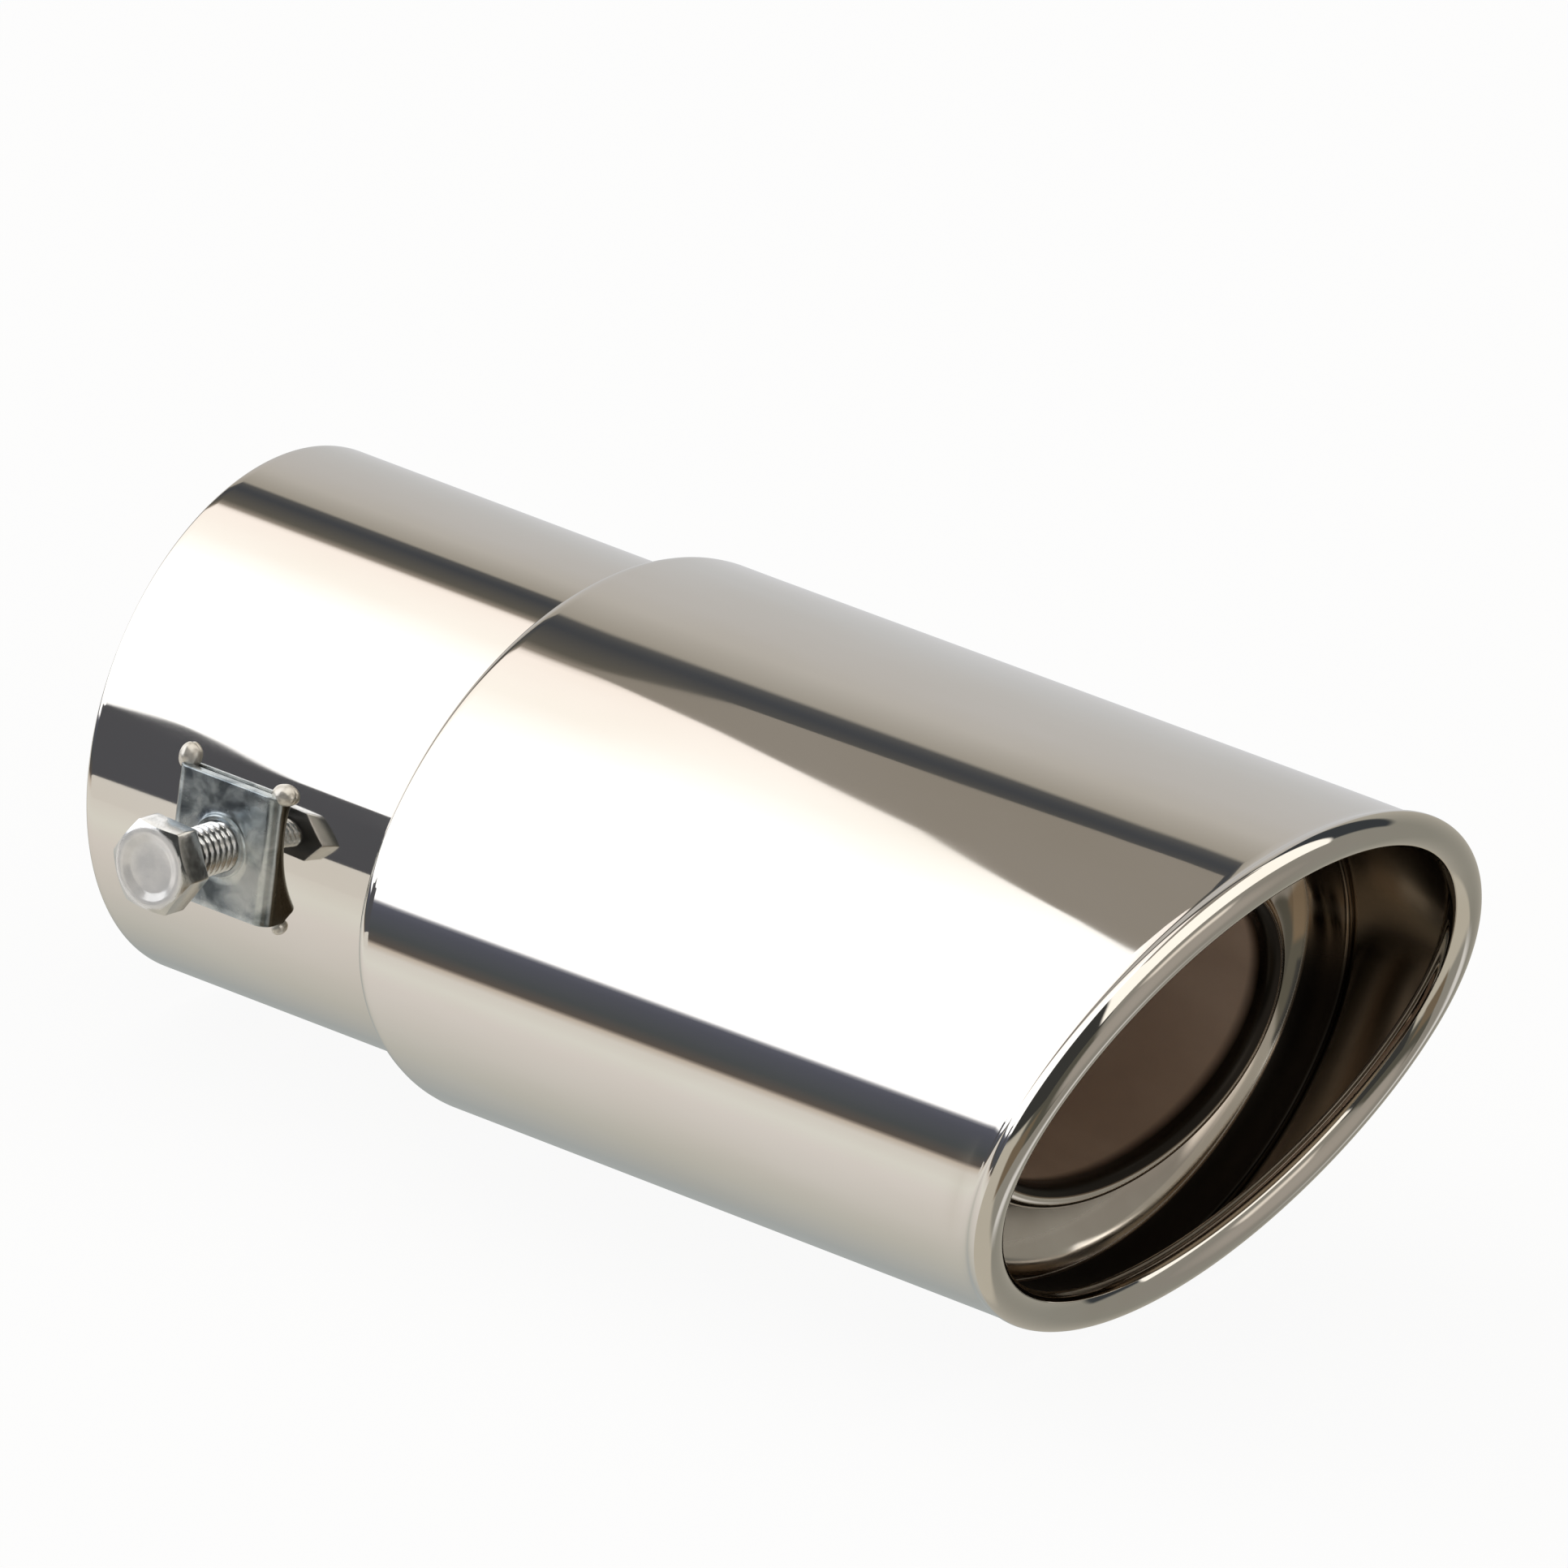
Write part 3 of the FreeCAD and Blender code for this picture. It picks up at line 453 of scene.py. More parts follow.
def place_texture(tree, scale):
    """Object coordinates, in millimetres, stretched by scale."""
    where = tree.nodes.new("ShaderNodeTexCoord")
    mapping = tree.nodes.new("ShaderNodeMapping")
    mapping.inputs["Scale"].default_value = [value / MM for value in scale]
    tree.links.new(where.outputs["Object"], mapping.inputs["Vector"])
    return mapping.outputs["Vector"]


def add_noise(tree, stretch, detail=3.0, distortion=0.0):
    """Noise whose features are about 1 / stretch millimetres across, per axis."""
    node = tree.nodes.new("ShaderNodeTexNoise")
    node.inputs["Scale"].default_value = 1.0
    node.inputs["Detail"].default_value = detail
    node.inputs["Distortion"].default_value = distortion
    tree.links.new(place_texture(tree, stretch), node.inputs["Vector"])
    return node.outputs["Fac"]


def add_ramp(tree, value, stops):
    ramp = tree.nodes.new("ShaderNodeValToRGB")
    elements = ramp.color_ramp.elements
    while len(elements) < len(stops):
        elements.new(1.0)
    for element, (position, colour) in zip(elements, stops):
        element.position = position
        element.color = (*colour, 1.0)
    tree.links.new(value, ramp.inputs["Fac"])
    return ramp.outputs["Color"]


def add_range(tree, value, low, high, start=0.3, end=0.7, kind="LINEAR"):
    """Low where value is start or less, high where it is end or more."""
    node = tree.nodes.new("ShaderNodeMapRange")
    node.interpolation_type = kind
    limits = {"From Min": start, "From Max": end, "To Min": low, "To Max": high}
    for name, limit in limits.items():
        node.inputs[name].default_value = limit
    tree.links.new(value, node.inputs["Value"])
    return node.outputs["Result"]


def soft_step(tree, value, edge, softness):
    """0 below the edge, 1 above it; edge may be a socket."""
    gap = math_node(tree, "SUBTRACT", value, edge)
    return add_range(tree, gap, 0.0, 1.0, start=-softness, end=softness, kind="SMOOTHSTEP")


def add_patches(tree, base, tone, darkest):
    """The base colour, darkened in patches where tone is low."""
    patches = add_ramp(tree, tone, ((0.35, darkest), (0.65, WHITE)))
    return mix_colours(tree, 1.0, base, patches, blend="MULTIPLY")


def add_bumps(tree, shader, layers):
    """Layers of (height, depth in millimetres), one over the other."""
    normal = None
    for height, depth in layers:
        bump = tree.nodes.new("ShaderNodeBump")
        bump.inputs["Strength"].default_value = 1.0
        bump.inputs["Distance"].default_value = depth * MM
        tree.links.new(height, bump.inputs["Height"])
        if normal is not None:
            tree.links.new(normal, bump.inputs["Normal"])
        normal = bump.outputs["Normal"]
    tree.links.new(normal, shader.inputs["Normal"])


# The per-point number read here carries real finishes as well as painted shade, highlight and reflection
def read_finish_and_painted_light(tree):
    node = tree.nodes.new("ShaderNodeAttribute")
    node.attribute_name = "finish_and_painted_light"
    return node.outputs["Fac"]


# Materials
def make_polished_stainless():
    """Mirror polish outside; inside the tube the steel is duller and browned by heat, with painted shade in
    black lower down and deeper in.
    """
    material, tree, shader = new_material("polished_stainless")
    finish_and_painted_light = read_finish_and_painted_light(tree)
    tone = add_noise(tree, (0.02, 0.06, 0.06), detail=4.0)
    colour = add_patches(tree, add_ramp(tree, finish_and_painted_light, POLISHED_TINTS), tone, (0.96, 0.95, 0.93))
    haze = add_noise(tree, (0.05, 0.12, 0.12), detail=5.0)
    shine = add_range(tree, haze, low=0.03, high=0.055)
    roughness = math_node(tree, "MULTIPLY_ADD", finish_and_painted_light, 0.14, shine)
    set_shader(tree, shader, colour, 1.0, roughness)
    waves = add_noise(tree, (0.02, 0.09, 0.09), detail=1.0)
    polish = add_noise(tree, (0.25, 9.0, 9.0), detail=3.0)
    add_bumps(tree, shader, ((waves, 0.012), (polish, 0.00005)))
    return material


def make_liner_stainless():
    """Bright at the foot of the bowl with a painted highlight line, painted shade in black outside that
    with a painted reflection in brown, and a dull brown film down the throat.
    """
    material, tree, shader = new_material("liner_stainless")
    finish_and_painted_light = read_finish_and_painted_light(tree)
    tone = add_noise(tree, (0.04, 0.06, 0.06), detail=4.0, distortion=0.4)
    colour = add_patches(tree, add_ramp(tree, finish_and_painted_light, LINER_TINTS), tone, (0.86, 0.84, 0.83))
    metallic = add_range(tree, finish_and_painted_light, low=1.0, high=0.2, start=0.6, end=1.0)
    haze = add_noise(tree, (0.1, 0.2, 0.2), detail=4.0)
    shine = add_range(tree, haze, low=0.07, high=0.12)
    film = add_ramp(tree, finish_and_painted_light, [(at, (dull, dull, dull)) for at, dull in LINER_DULLNESS])
    set_shader(tree, shader, colour, metallic, math_node(tree, "ADD", shine, film))
    waves = add_noise(tree, (0.03, 0.05, 0.05), detail=1.0)
    add_bumps(tree, shader, ((waves, 0.015),))
    return material


def near_painted_highlight(tree):
    """1 at the painted highlight on the bracket's plate, 0 away from it."""
    where = tree.nodes.new("ShaderNodeTexCoord")
    gap = tree.nodes.new("ShaderNodeVectorMath")
    gap.operation = "DISTANCE"
    gap.inputs[1].default_value = [value * MM for value in PAINTED_HIGHLIGHT_CENTRE]
    tree.links.new(where.outputs["Object"], gap.inputs[0])
    return add_range(tree, gap.outputs["Value"], low=1.0, high=0.0, start=PAINTED_HIGHLIGHT_CORE, end=PAINTED_HIGHLIGHT_SIZE)


def make_zinc_plated_steel():
    """Blue-white zinc, stained, with a painted highlight on the plate; painted shade in dark brown on the
    legs.
    """
    material, tree, shader = new_material("zinc_plated_steel")
    stains = add_noise(tree, (0.22, 0.22, 0.22), detail=6.0, distortion=0.7)
    # The tone mixes the stains with the painted highlight on the plate
    shade = math_node(tree, "MULTIPLY_ADD", near_painted_highlight(tree), 0.28, stains)
    plating = add_ramp(tree, shade, ZINC_TINTS)
    colour = mix_colours(tree, read_finish_and_painted_light(tree), plating, ZINC_LEG_SHADE)
    metallic = add_range(tree, shade, low=0.95, high=0.45, start=0.4, end=0.8)
    haze = add_noise(tree, (0.8, 0.8, 0.8), detail=4.0)
    set_shader(tree, shader, colour, metallic, add_range(tree, haze, low=0.15, high=0.28))
    pitting = add_noise(tree, (2.5, 2.5, 2.5), detail=4.0)
    add_bumps(tree, shader, ((stains, 0.04), (pitting, 0.006)))
    return material


def make_weld_metal():
    material, tree, shader = new_material("weld_metal")
    tone = add_noise(tree, (0.5, 0.5, 0.5), detail=4.0)
    colour = add_ramp(tree, tone, WELD_TINTS)
    set_shader(tree, shader, colour, 0.7, add_range(tree, tone, low=0.25, high=0.4))
    ripple = add_noise(tree, (1.1, 1.1, 1.1), detail=3.0)
    add_bumps(tree, shader, ((ripple, 0.05),))
    return material


def make_bright_zinc():
    """Bright zinc, satin on the face of the head, with painted shade under it."""
    material, tree, shader = new_material("bright_zinc")
    finish_and_painted_light = read_finish_and_painted_light(tree)
    tone = add_noise(tree, (0.5, 0.5, 0.5), detail=5.0)
    colour = add_patches(tree, add_ramp(tree, finish_and_painted_light, BOLT_TINTS), tone, (0.87, 0.88, 0.89))
    metallic = add_range(tree, finish_and_painted_light, low=1.0, high=0.3, start=BARE, end=SATIN_FACE)
    haze = add_noise(tree, (1.2, 1.2, 1.2), detail=4.0)
    set_shader(tree, shader, colour, metallic, add_range(tree, haze, low=0.13, high=0.24))
    grain = add_noise(tree, (4.0, 4.0, 4.0), detail=3.0)
    add_bumps(tree, shader, ((grain, 0.01),))
    return material


# Mesh helpers
def store_mesh(name, vertices, faces, material, sharp=None, finish_and_painted_light=None):
    """An object in metres from points in millimetres; edges that turn over sharp degrees stay sharp."""
    mesh = bpy.data.meshes.new(name)
    mesh.from_pydata([tuple(value * MM for value in vertex) for vertex in vertices], [], faces)
    if finish_and_painted_light is not None:
        mesh.attributes.new("finish_and_painted_light", "FLOAT", "POINT").data.foreach_set("value", finish_and_painted_light)
    work = bmesh.new()
    work.from_mesh(mesh)
    bmesh.ops.remove_doubles(work, verts=work.verts, dist=0.002 * MM)
    bmesh.ops.dissolve_degenerate(work, edges=work.edges, dist=0.001 * MM)
    loose = [vertex for vertex in work.verts if not vertex.link_faces]
    bmesh.ops.delete(work, geom=loose, context="VERTS")
    bmesh.ops.recalc_face_normals(work, faces=work.faces)
    for face in work.faces:
        face.smooth = True
    if sharp is not None:
        for edge in work.edges:
            if len(edge.link_faces) == 2 and edge.calc_face_angle() > math.radians(sharp):
                edge.smooth = False
    work.to_mesh(mesh)
    work.free()
    mesh.materials.append(material)
    piece = bpy.data.objects.new(name, mesh)
    bpy.context.scene.collection.objects.link(piece)
    return piece


def join_rows(rows, ring=True, loop=False):
    """Vertices and quads of a grid. ring joins each row's ends; loop joins the last row to the first."""
    width = len(rows[0])
    vertices = [point for row in rows for point in row]
    faces = []
    row_pairs = len(rows) if loop else len(rows) - 1
    column_pairs = width if ring else width - 1
    for upper in range(row_pairs):
        lower = (upper + 1) % len(rows)
        for column in range(column_pairs):
            following = (column + 1) % width
            faces.append((
                upper * width + column,
                upper * width + following,
                lower * width + following,
                lower * width + column,
            ))
    return vertices, faces


def cap_rows(rows):
    """The grid of rows, closed by a face over the first row and one over the last."""
    vertices, faces = join_rows(rows)
    width = len(rows[0])
    faces.append(tuple(range(width)))
    faces.append(tuple(range(len(vertices) - width, len(vertices))))
    return vertices, faces


def join_patches(patches):
    """One list of vertices and faces from several; store_mesh merges the points that they share."""
    vertices = []
    faces = []
    for patch_vertices, patch_faces in patches:
        offset = len(vertices)
        vertices += patch_vertices
        faces += [tuple(index + offset for index in face) for face in patch_faces]
    return vertices, faces


def window_outline(left, right, low, high, columns, lines):
    """Points round a rectangle, counter-clockwise from its lower right corner, without repeats."""
    outline = [(right, value) for value in spread(low, high, lines)[:-1]]
    outline += [(value, high) for value in spread(right, left, columns)[:-1]]
    outline += [(left, value) for value in spread(high, low, lines)[:-1]]
    outline += [(value, low) for value in spread(left, right, columns)[:-1]]
    return outline


def arc_points(centre, radius, start, end, count):
    return [
        (centre[0] + radius * math.cos(turn), centre[1] + radius * math.sin(turn))
        for turn in spread(math.radians(start), math.radians(end), count)
    ]


def oval_frame(angle, inset, x=FLARE_START):
    """Point (y, z) of the oval's outline, moved in by inset, where its outward normal has this angle."""
    flare = clamp((x - FLARE_START) / (FLARE_END - FLARE_START))
    half_width = SHELL_HALF_WIDTH + FLARE_WIDTH * flare
    half_height = SHELL_HALF_HEIGHT + FLARE_HEIGHT * flare
    mean = (half_width + half_height) / 2
    swing = (half_width - half_height) / 2
    reach = mean + swing * math.cos(2 * angle) + SHELL_ROUNDNESS * (math.cos(4 * angle) - 1) - inset
    slide = -2 * swing * math.sin(2 * angle) - 4 * SHELL_ROUNDNESS * math.sin(4 * angle)
    near = reach * math.cos(angle) - slide * math.sin(angle)
    up = reach * math.sin(angle) + slide * math.cos(angle) + FLARE_LIFT * flare
    return -near, up


def on_collar_depth(z, radius=COLLAR_RADIUS):
    """Where the collar's surface lies along the bracket's own Y, at height z there."""
    centre = BRACKET_PLACE.inverted() @ Vector((BRACKET_STATION, 0.0, 0.0))
    return centre.y - math.sqrt(radius ** 2 - (z - centre.z) ** 2)


# Inlet collar
def collar_point(x, angle, radius):
    return x, -radius * math.cos(angle), radius * math.sin(angle)


def clearance_edge(turn, radius):
    """The hole's edge on the collar's surface of this radius, as x and angle round the tube."""
    across = CLEARANCE_RADIUS * math.cos(turn)
    upward = CLEARANCE_RADIUS * math.sin(turn)
    y = on_collar_depth(upward, radius)
    place = BRACKET_PLACE @ Vector((across, y, upward))
    return place.x, math.atan2(place.z, -place.y)


def collar_window(radius):
    """The wall's surface between the clearance hole and the rectangular window round it."""
    half = WINDOW_COLUMNS * 2 * math.pi / COLLAR_COLUMNS
    columns = int(WINDOW_X[1] - WINDOW_X[0])
    outline = window_outline(*WINDOW_X, -half, half, columns, 2 * WINDOW_COLUMNS)
    turns = [math.atan2(angle * COLLAR_RADIUS, x - BRACKET_STATION) for x, angle in outline]
    edge = [clearance_edge(turn, radius) for turn in turns]
    rows = []
    for share in spread(0.0, 1.0, WINDOW_RINGS):
        rows.append([
            collar_point(x0 + share * (x1 - x0), a0 + share * (a1 - a0), radius)
            for (x0, a0), (x1, a1) in zip(edge, outline)
        ])
    return rows


def collar_profile():
    """The wall's closed section as (x, radius), from the bore's rear end along the outside and back."""
    inner = COLLAR_RADIUS - COLLAR_WALL
    rounding = [
        (COLLAR_EDGE_ROUND * (1 - math.sin(turn)), COLLAR_RADIUS - COLLAR_EDGE_ROUND * (1 - math.cos(turn)))
        for turn in spread(0.0, math.pi / 2, 4)
    ]
    stations = spread(COLLAR_MARGIN, COLLAR_LENGTH - COLLAR_MARGIN, COLLAR_ROWS)
    profile = [(0.0, inner), (0.0, COLLAR_RADIUS - COLLAR_EDGE_ROUND - COLLAR_EDGE_SUPPORT)]
    profile += reversed(rounding)
    profile += [(x, COLLAR_RADIUS) for x in stations]
    profile += [(COLLAR_LENGTH - x, radius) for x, radius in rounding]
    profile += [(COLLAR_LENGTH, inner)]
    profile += [(x, inner) for x in reversed(stations)]
    return profile


def in_window(start, end):
    """Whether the strip between these two points of the profile crosses the window."""
    low, high = sorted((start[0], end[0]))
    return start[1] == end[1] and WINDOW_X[0] <= low and high <= WINDOW_X[1]


def make_collar(material):
    profile = collar_profile()
    angles = circle_angles(COLLAR_COLUMNS)
    rows = [[collar_point(x, angle, radius) for angle in angles] for x, radius in profile]
    vertices, faces = join_rows(rows, loop=True)
    open_rows = {row for row, ends in enumerate(zip(profile, profile[1:])) if in_window(*ends)}
    beside = range(WINDOW_COLUMNS, COLLAR_COLUMNS - WINDOW_COLUMNS)
    faces = [
        face for number, face in enumerate(faces)
        if number // COLLAR_COLUMNS not in open_rows or number % COLLAR_COLUMNS in beside
    ]
    outside = collar_window(COLLAR_RADIUS)
    inside = collar_window(COLLAR_RADIUS - COLLAR_WALL)
    hole = [outside[0], inside[0]]
    patches = [(vertices, faces), join_rows(outside), join_rows(inside), join_rows(hole)]
    vertices, faces = join_patches(patches)
    bore_edge = COLLAR_RADIUS - 0.9 * COLLAR_WALL
    finish_and_painted_light = [BROWN if math.hypot(y, z) < bore_edge else BARE for x, y, z in vertices]
    return store_mesh("collar_tube", vertices, faces, material, sharp=50, finish_and_painted_light=finish_and_painted_light)


# Outer shell with its rolled rim
def clear_of_collar(point):
    """Keeps a point of the rear wall outside the collar."""
    x, y, z = point
    distance = math.hypot(y, z)
    if distance < COLLAR_RADIUS:
        y *= COLLAR_RADIUS / distance
        z *= COLLAR_RADIUS / distance
    return x, y, z


def rear_seat(angle):
    """Where a column of the rear wall meets the collar, as (y, z)."""
    y, z = oval_frame(angle, SHELL_REAR_ROUND)
    around = math.atan2(z, -y)
    return -COLLAR_RADIUS * math.cos(around), COLLAR_RADIUS * math.sin(around)


def rim_size(angle):
    """Radius and inset of the rim's section: it is rolled thicker and further in along the bottom."""
    low = max(0.0, -math.sin(angle)) ** 2
    return RIM_RADIUS + RIM_LOW_SWELL * low, RIM_INSET + RIM_LOW_INSET * low


def rim_frame(angle):
    """Centre of the rim's section, the mouth plane's forward normal and the way outward in that plane."""
    inset = rim_size(angle)[1]
    y, z = oval_frame(angle, inset, FLARE_END)
    centre = Vector((MOUTH_STATION + z * math.tan(SLASH), y, z))
    small = 0.001
    ahead_y, ahead_z = oval_frame(angle + small, inset, FLARE_END)
    behind_y, behind_z = oval_frame(angle - small, inset, FLARE_END)
    rise = ahead_z - behind_z
    along = Vector((rise * math.tan(SLASH), ahead_y - behind_y, rise))
    forward = Vector((math.cos(SLASH), 0.0, -math.sin(SLASH)))
    outward = along.normalized().cross(forward)
    if outward.y * y + outward.z * z < 0:
        outward.negate()
    return centre, forward, outward


def rim_join_angle(angle, radius, level):
    """Where a ring of this radius round the rim's centre comes level with the wall, on its rear side."""
    centre, forward, outward = rim_frame(angle)
    normal = Vector((0.0, -math.cos(angle), math.sin(angle)))
    across = forward.dot(normal)
    upward = outward.dot(normal)
    return math.atan2(upward, across) + math.acos(level / radius / math.hypot(across, upward))


def rim_point(angle, radius, turn):
    centre, forward, outward = rim_frame(angle)
    return centre + radius * (math.cos(turn) * forward + math.sin(turn) * outward)


def shell_outside(angle, crease):
    """The rear wall, its rounded corner and the outer wall up to the crease before the rim."""
    points = [(SHELL_START, *rear_seat(angle))]
    for turn in [math.radians(step) for step in range(0, 91, 15)]:
        y, z = oval_frame(angle, SHELL_REAR_ROUND * (1 - math.sin(turn)))
        x = SHELL_START + SHELL_REAR_ROUND * (1 - math.cos(turn))
        points.append(clear_of_collar((x, y, z)))
    wall_start = SHELL_START + SHELL_REAR_ROUND + SHELL_CORNER_STEP
    for x in spread(wall_start, crease.x - CREASE_MARGIN, SHELL_OUTER_ROWS):
        points.append((x, *oval_frame(angle, 0.0, x)))
    y, z = oval_frame(angle, 0.0, FLARE_END)
    for share, back in CREASE_STEPS:
        points.append((crease.x - back, y + share * (crease.y - y), z + share * (crease.z - z)))
    return points


def shell_inside(angle, front):
    """The inner wall from x = front to the rear, and the rear wall's inner side down to the collar."""
    rear = SHELL_START + SHELL_WALL
    points = []
    for x in spread(front, rear + SHELL_CORNER_STEP, SHELL_INNER_ROWS):
        points.append((x, *oval_frame(angle, SHELL_WALL, x)))
    points.append(clear_of_collar((rear, *oval_frame(angle, SHELL_WALL + SHELL_CORNER_STEP))))
    points.append((rear, *rear_seat(angle)))
    return points


def shell_column(angle):
    """One lengthwise line of the sheet: rear wall, outside, rolled rim, inside and back."""
    radius, inset = rim_size(angle)
    inner_radius = radius - RIM_WALL
    join = rim_join_angle(angle, radius, inset)
    inside_join = rim_join_angle(angle, inner_radius, inset - SHELL_WALL)
    points = shell_outside(angle, rim_point(angle, radius, join))
    for turn in spread(join - RIM_JOIN_STEP, RIM_HOOK_END, RIM_ROWS):
        points.append(tuple(rim_point(angle, radius, turn)))
    for turn in spread(RIM_HOOK_END, inside_join, RIM_ROWS):
        points.append(tuple(rim_point(angle, inner_radius, turn)))
    inside = rim_point(angle, inner_radius, inside_join)
    return points + shell_inside(angle, inside.x - INSIDE_MARGIN)


def shell_soot_and_shade(point):
    """Brown just behind the rim and over the upper half; painted shade in black lower down and deeper in.
    """
    x, y, z = point
    depth = MOUTH_STATION + z * math.tan(SLASH) - x
    # Painted shade, deeper in and lower down
    deep = clamp((depth - SHELL_SHADE_DEPTH) / SHELL_DEPTH_FADE)
    low = clamp((SHELL_SHADE_HEIGHT - z) / SHELL_HEIGHT_FADE)
    return BROWN - SHELL_SHADE_SHARE * (deep * low)


def make_shell(material):
    columns = [shell_column(angle) for angle in circle_angles(SHELL_COLUMNS)]
    rows = [list(row) for row in zip(*columns)]
    vertices, faces = join_rows(rows, loop=True)
    inside_rows = (RIM_ROWS + 1) + (SHELL_INNER_ROWS + 1) + SHELL_REAR_ROWS
    finish_and_painted_light = [
        shell_soot_and_shade(point) if row >= len(rows) - inside_rows else BARE
        for row, points in enumerate(rows) for point in points
    ]
    return store_mesh("polished_shell", vertices, faces, material, sharp=25, finish_and_painted_light=finish_and_painted_light)


# Inner liner
def liner_section():
    """The sheet's closed outline in x and distance from the axis, cut at the wide end of the oval."""
    level = SHELL_HALF_WIDTH - SHELL_WALL - LINER_GAP
    bowl = (LINER_FRONT - LINER_FLANGE, level - BOWL_RADIUS)
    lip = (THROAT_FRONT - THROAT_LIP_RADIUS, SHELL_HALF_WIDTH - THROAT_INSET)
    inner_level = lip[1] + THROAT_LIP_RADIUS + BOWL_INNER_RADIUS
    gap = BOWL_RADIUS - LINER_WALL - BOWL_INNER_RADIUS
    inner = (bowl[0] - math.sqrt(gap ** 2 - (bowl[1] - inner_level) ** 2), inner_level)
    meeting = math.degrees(math.atan2(inner[1] - bowl[1], inner[0] - bowl[0])) % 360
    rear = THROAT_FRONT - THROAT_LENGTH
    bore = lip[1] - THROAT_LIP_RADIUS
    face = level - LINER_WALL
    front = [(LINER_FRONT, face + LINER_CHAMFER), (LINER_FRONT - LINER_CHAMFER, face)]
    front += arc_points(bowl, BOWL_RADIUS - LINER_WALL, 90, meeting, count=60)
    front += arc_points(inner, BOWL_INNER_RADIUS, meeting, 270, count=12)[1:]
    front += arc_points(lip, THROAT_LIP_RADIUS, 90, -90, count=16)
    front += [(x, bore) for x in spread(lip[0] - THROAT_MARGIN, rear, 14)]
    back = [(x, bore + LINER_WALL) for x in spread(rear, lip[0], 6)]
    back += arc_points(lip, THROAT_LIP_RADIUS - LINER_WALL, -90, 90, count=8)[1:]
    back += arc_points(inner, BOWL_INNER_RADIUS + LINER_WALL, 270, meeting, count=8)
    back += arc_points(bowl, BOWL_RADIUS, meeting, 90, count=16)[1:]
    back += [(LINER_FRONT, level)]
    return front + back, lip[1], level


def liner_finish_and_painted_light(x, level, throat_level, angle):
    """Bright foot of the bowl with a painted highlight line round it, painted shade in black outside that
    with a painted reflection patch on the far side, a ring of painted shade just past the lip, and brown
    down the throat.
    """
    depth = THROAT_FRONT - x
    if level < throat_level + THROAT_LIP_RADIUS:
        # A ring of painted shade just past the lip, then the brown film down the throat
        ring = clamp((throat_level + LIP_EDGE - level) / LIP_FADE)
        film = clamp((depth - FILM_DEPTH) / FILM_FADE)
        return BRIGHT_FOOT + (PAINTED_SHADE - BRIGHT_FOOT) * ring + (BROWN - PAINTED_SHADE) * ring * film
    if depth > HIGHLIGHT_LINE_DEPTH + HIGHLIGHT_LINE_WIDTH:
        return BRIGHT_FOOT + (DULL_FOOT - BRIGHT_FOOT) * clamp((depth - DULL_DEPTH) / DULL_FADE)
    # The painted highlight line
    if depth > HIGHLIGHT_LINE_DEPTH:
        return PAINTED_HIGHLIGHT_LINE
    # Painted reflection, in brown, on the far side of the bowl
    far_side = max(0.0, math.cos(angle - PATCH_ANGLE)) ** PATCH_SHARPNESS
    return (PAINTED_SHADE - PATCH_SHARE * far_side) * min(1.0, (HIGHLIGHT_LINE_DEPTH - depth) / SHADE_FADE)


def throat_support(angle):
    """Outline of the throat's ellipse by the angle of its normal: reach and slide."""
    long_half = SHELL_HALF_WIDTH - THROAT_INSET
    short_half = SHELL_HALF_HEIGHT - THROAT_INSET
    reach = math.hypot(long_half * math.cos(angle), short_half * math.sin(angle))
    slide = (short_half ** 2 - long_half ** 2) * math.sin(angle) * math.cos(angle) / reach
    return reach, slide


def liner_point(x, level, angle, throat_level, flange_level):
    """A point of the section swept round: an ellipse at the throat, the shell's oval at the flange."""
    reach, slide = throat_support(angle)
    near = reach * math.cos(angle) - slide * math.sin(angle)
    up = reach * math.sin(angle) + slide * math.cos(angle)
    share = (level - throat_level) / (flange_level - throat_level)
    if share <= 0:
        inward = throat_level - level
        return x, -(near - inward * math.cos(angle)), up - inward * math.sin(angle)
    wide_y, wide_z = oval_frame(angle, SHELL_HALF_WIDTH - flange_level, x)
    return x, -near + share * (wide_y + near), up + share * (wide_z - up)


def make_liner(material):
    section, throat_level, flange_level = liner_section()
    angles = circle_angles(SHELL_COLUMNS)
    rows = [
        [liner_point(x, level, angle, throat_level, flange_level) for angle in angles]
        for x, level in section
    ]
    vertices, faces = join_rows(rows, loop=True)
    finish_and_painted_light = [liner_finish_and_painted_light(x, level, throat_level, angle) for x, level in section for angle in angles]
    return store_mesh("mouth_liner", vertices, faces, material, finish_and_painted_light=finish_and_painted_light)


# Clamp bracket
def leg_line(side, depth, z):
    """From the flat plate's side round the bend to the collar, depth under the sheet's outer surface."""
    radius = BRACKET_BEND - depth
    foot = on_collar_depth(z)
    reach = min(1.0, max(-1.0, (BEND_CENTRE - foot) / radius))
    end = min(math.pi / 2, math.acos(reach))
    points = [
        (side * (FLAT_HALF + radius * math.sin(turn)), BEND_CENTRE - radius * math.cos(turn))
        for turn in spread(0.0, end, BEND_STEPS)
    ]
    x, y = points[-1]
    points += [(x, level) for level in spread(y, max(foot, y), LEG_STEPS)[1:]]
    return [Vector((x, y, z)) for x, y in points]


def edge_rounding(half, radius):
    """Steps across the sheet's cut edge: depth under the outer surface and distance from the middle."""
    start = [
        (radius * (1 - math.cos(turn)), half - radius * (1 - math.sin(turn)))
        for turn in spread(0.0, math.pi / 2, EDGE_STEPS)
    ]
    end = [(BRACKET_WALL - depth, reach) for depth, reach in reversed(start)]
    return start + end


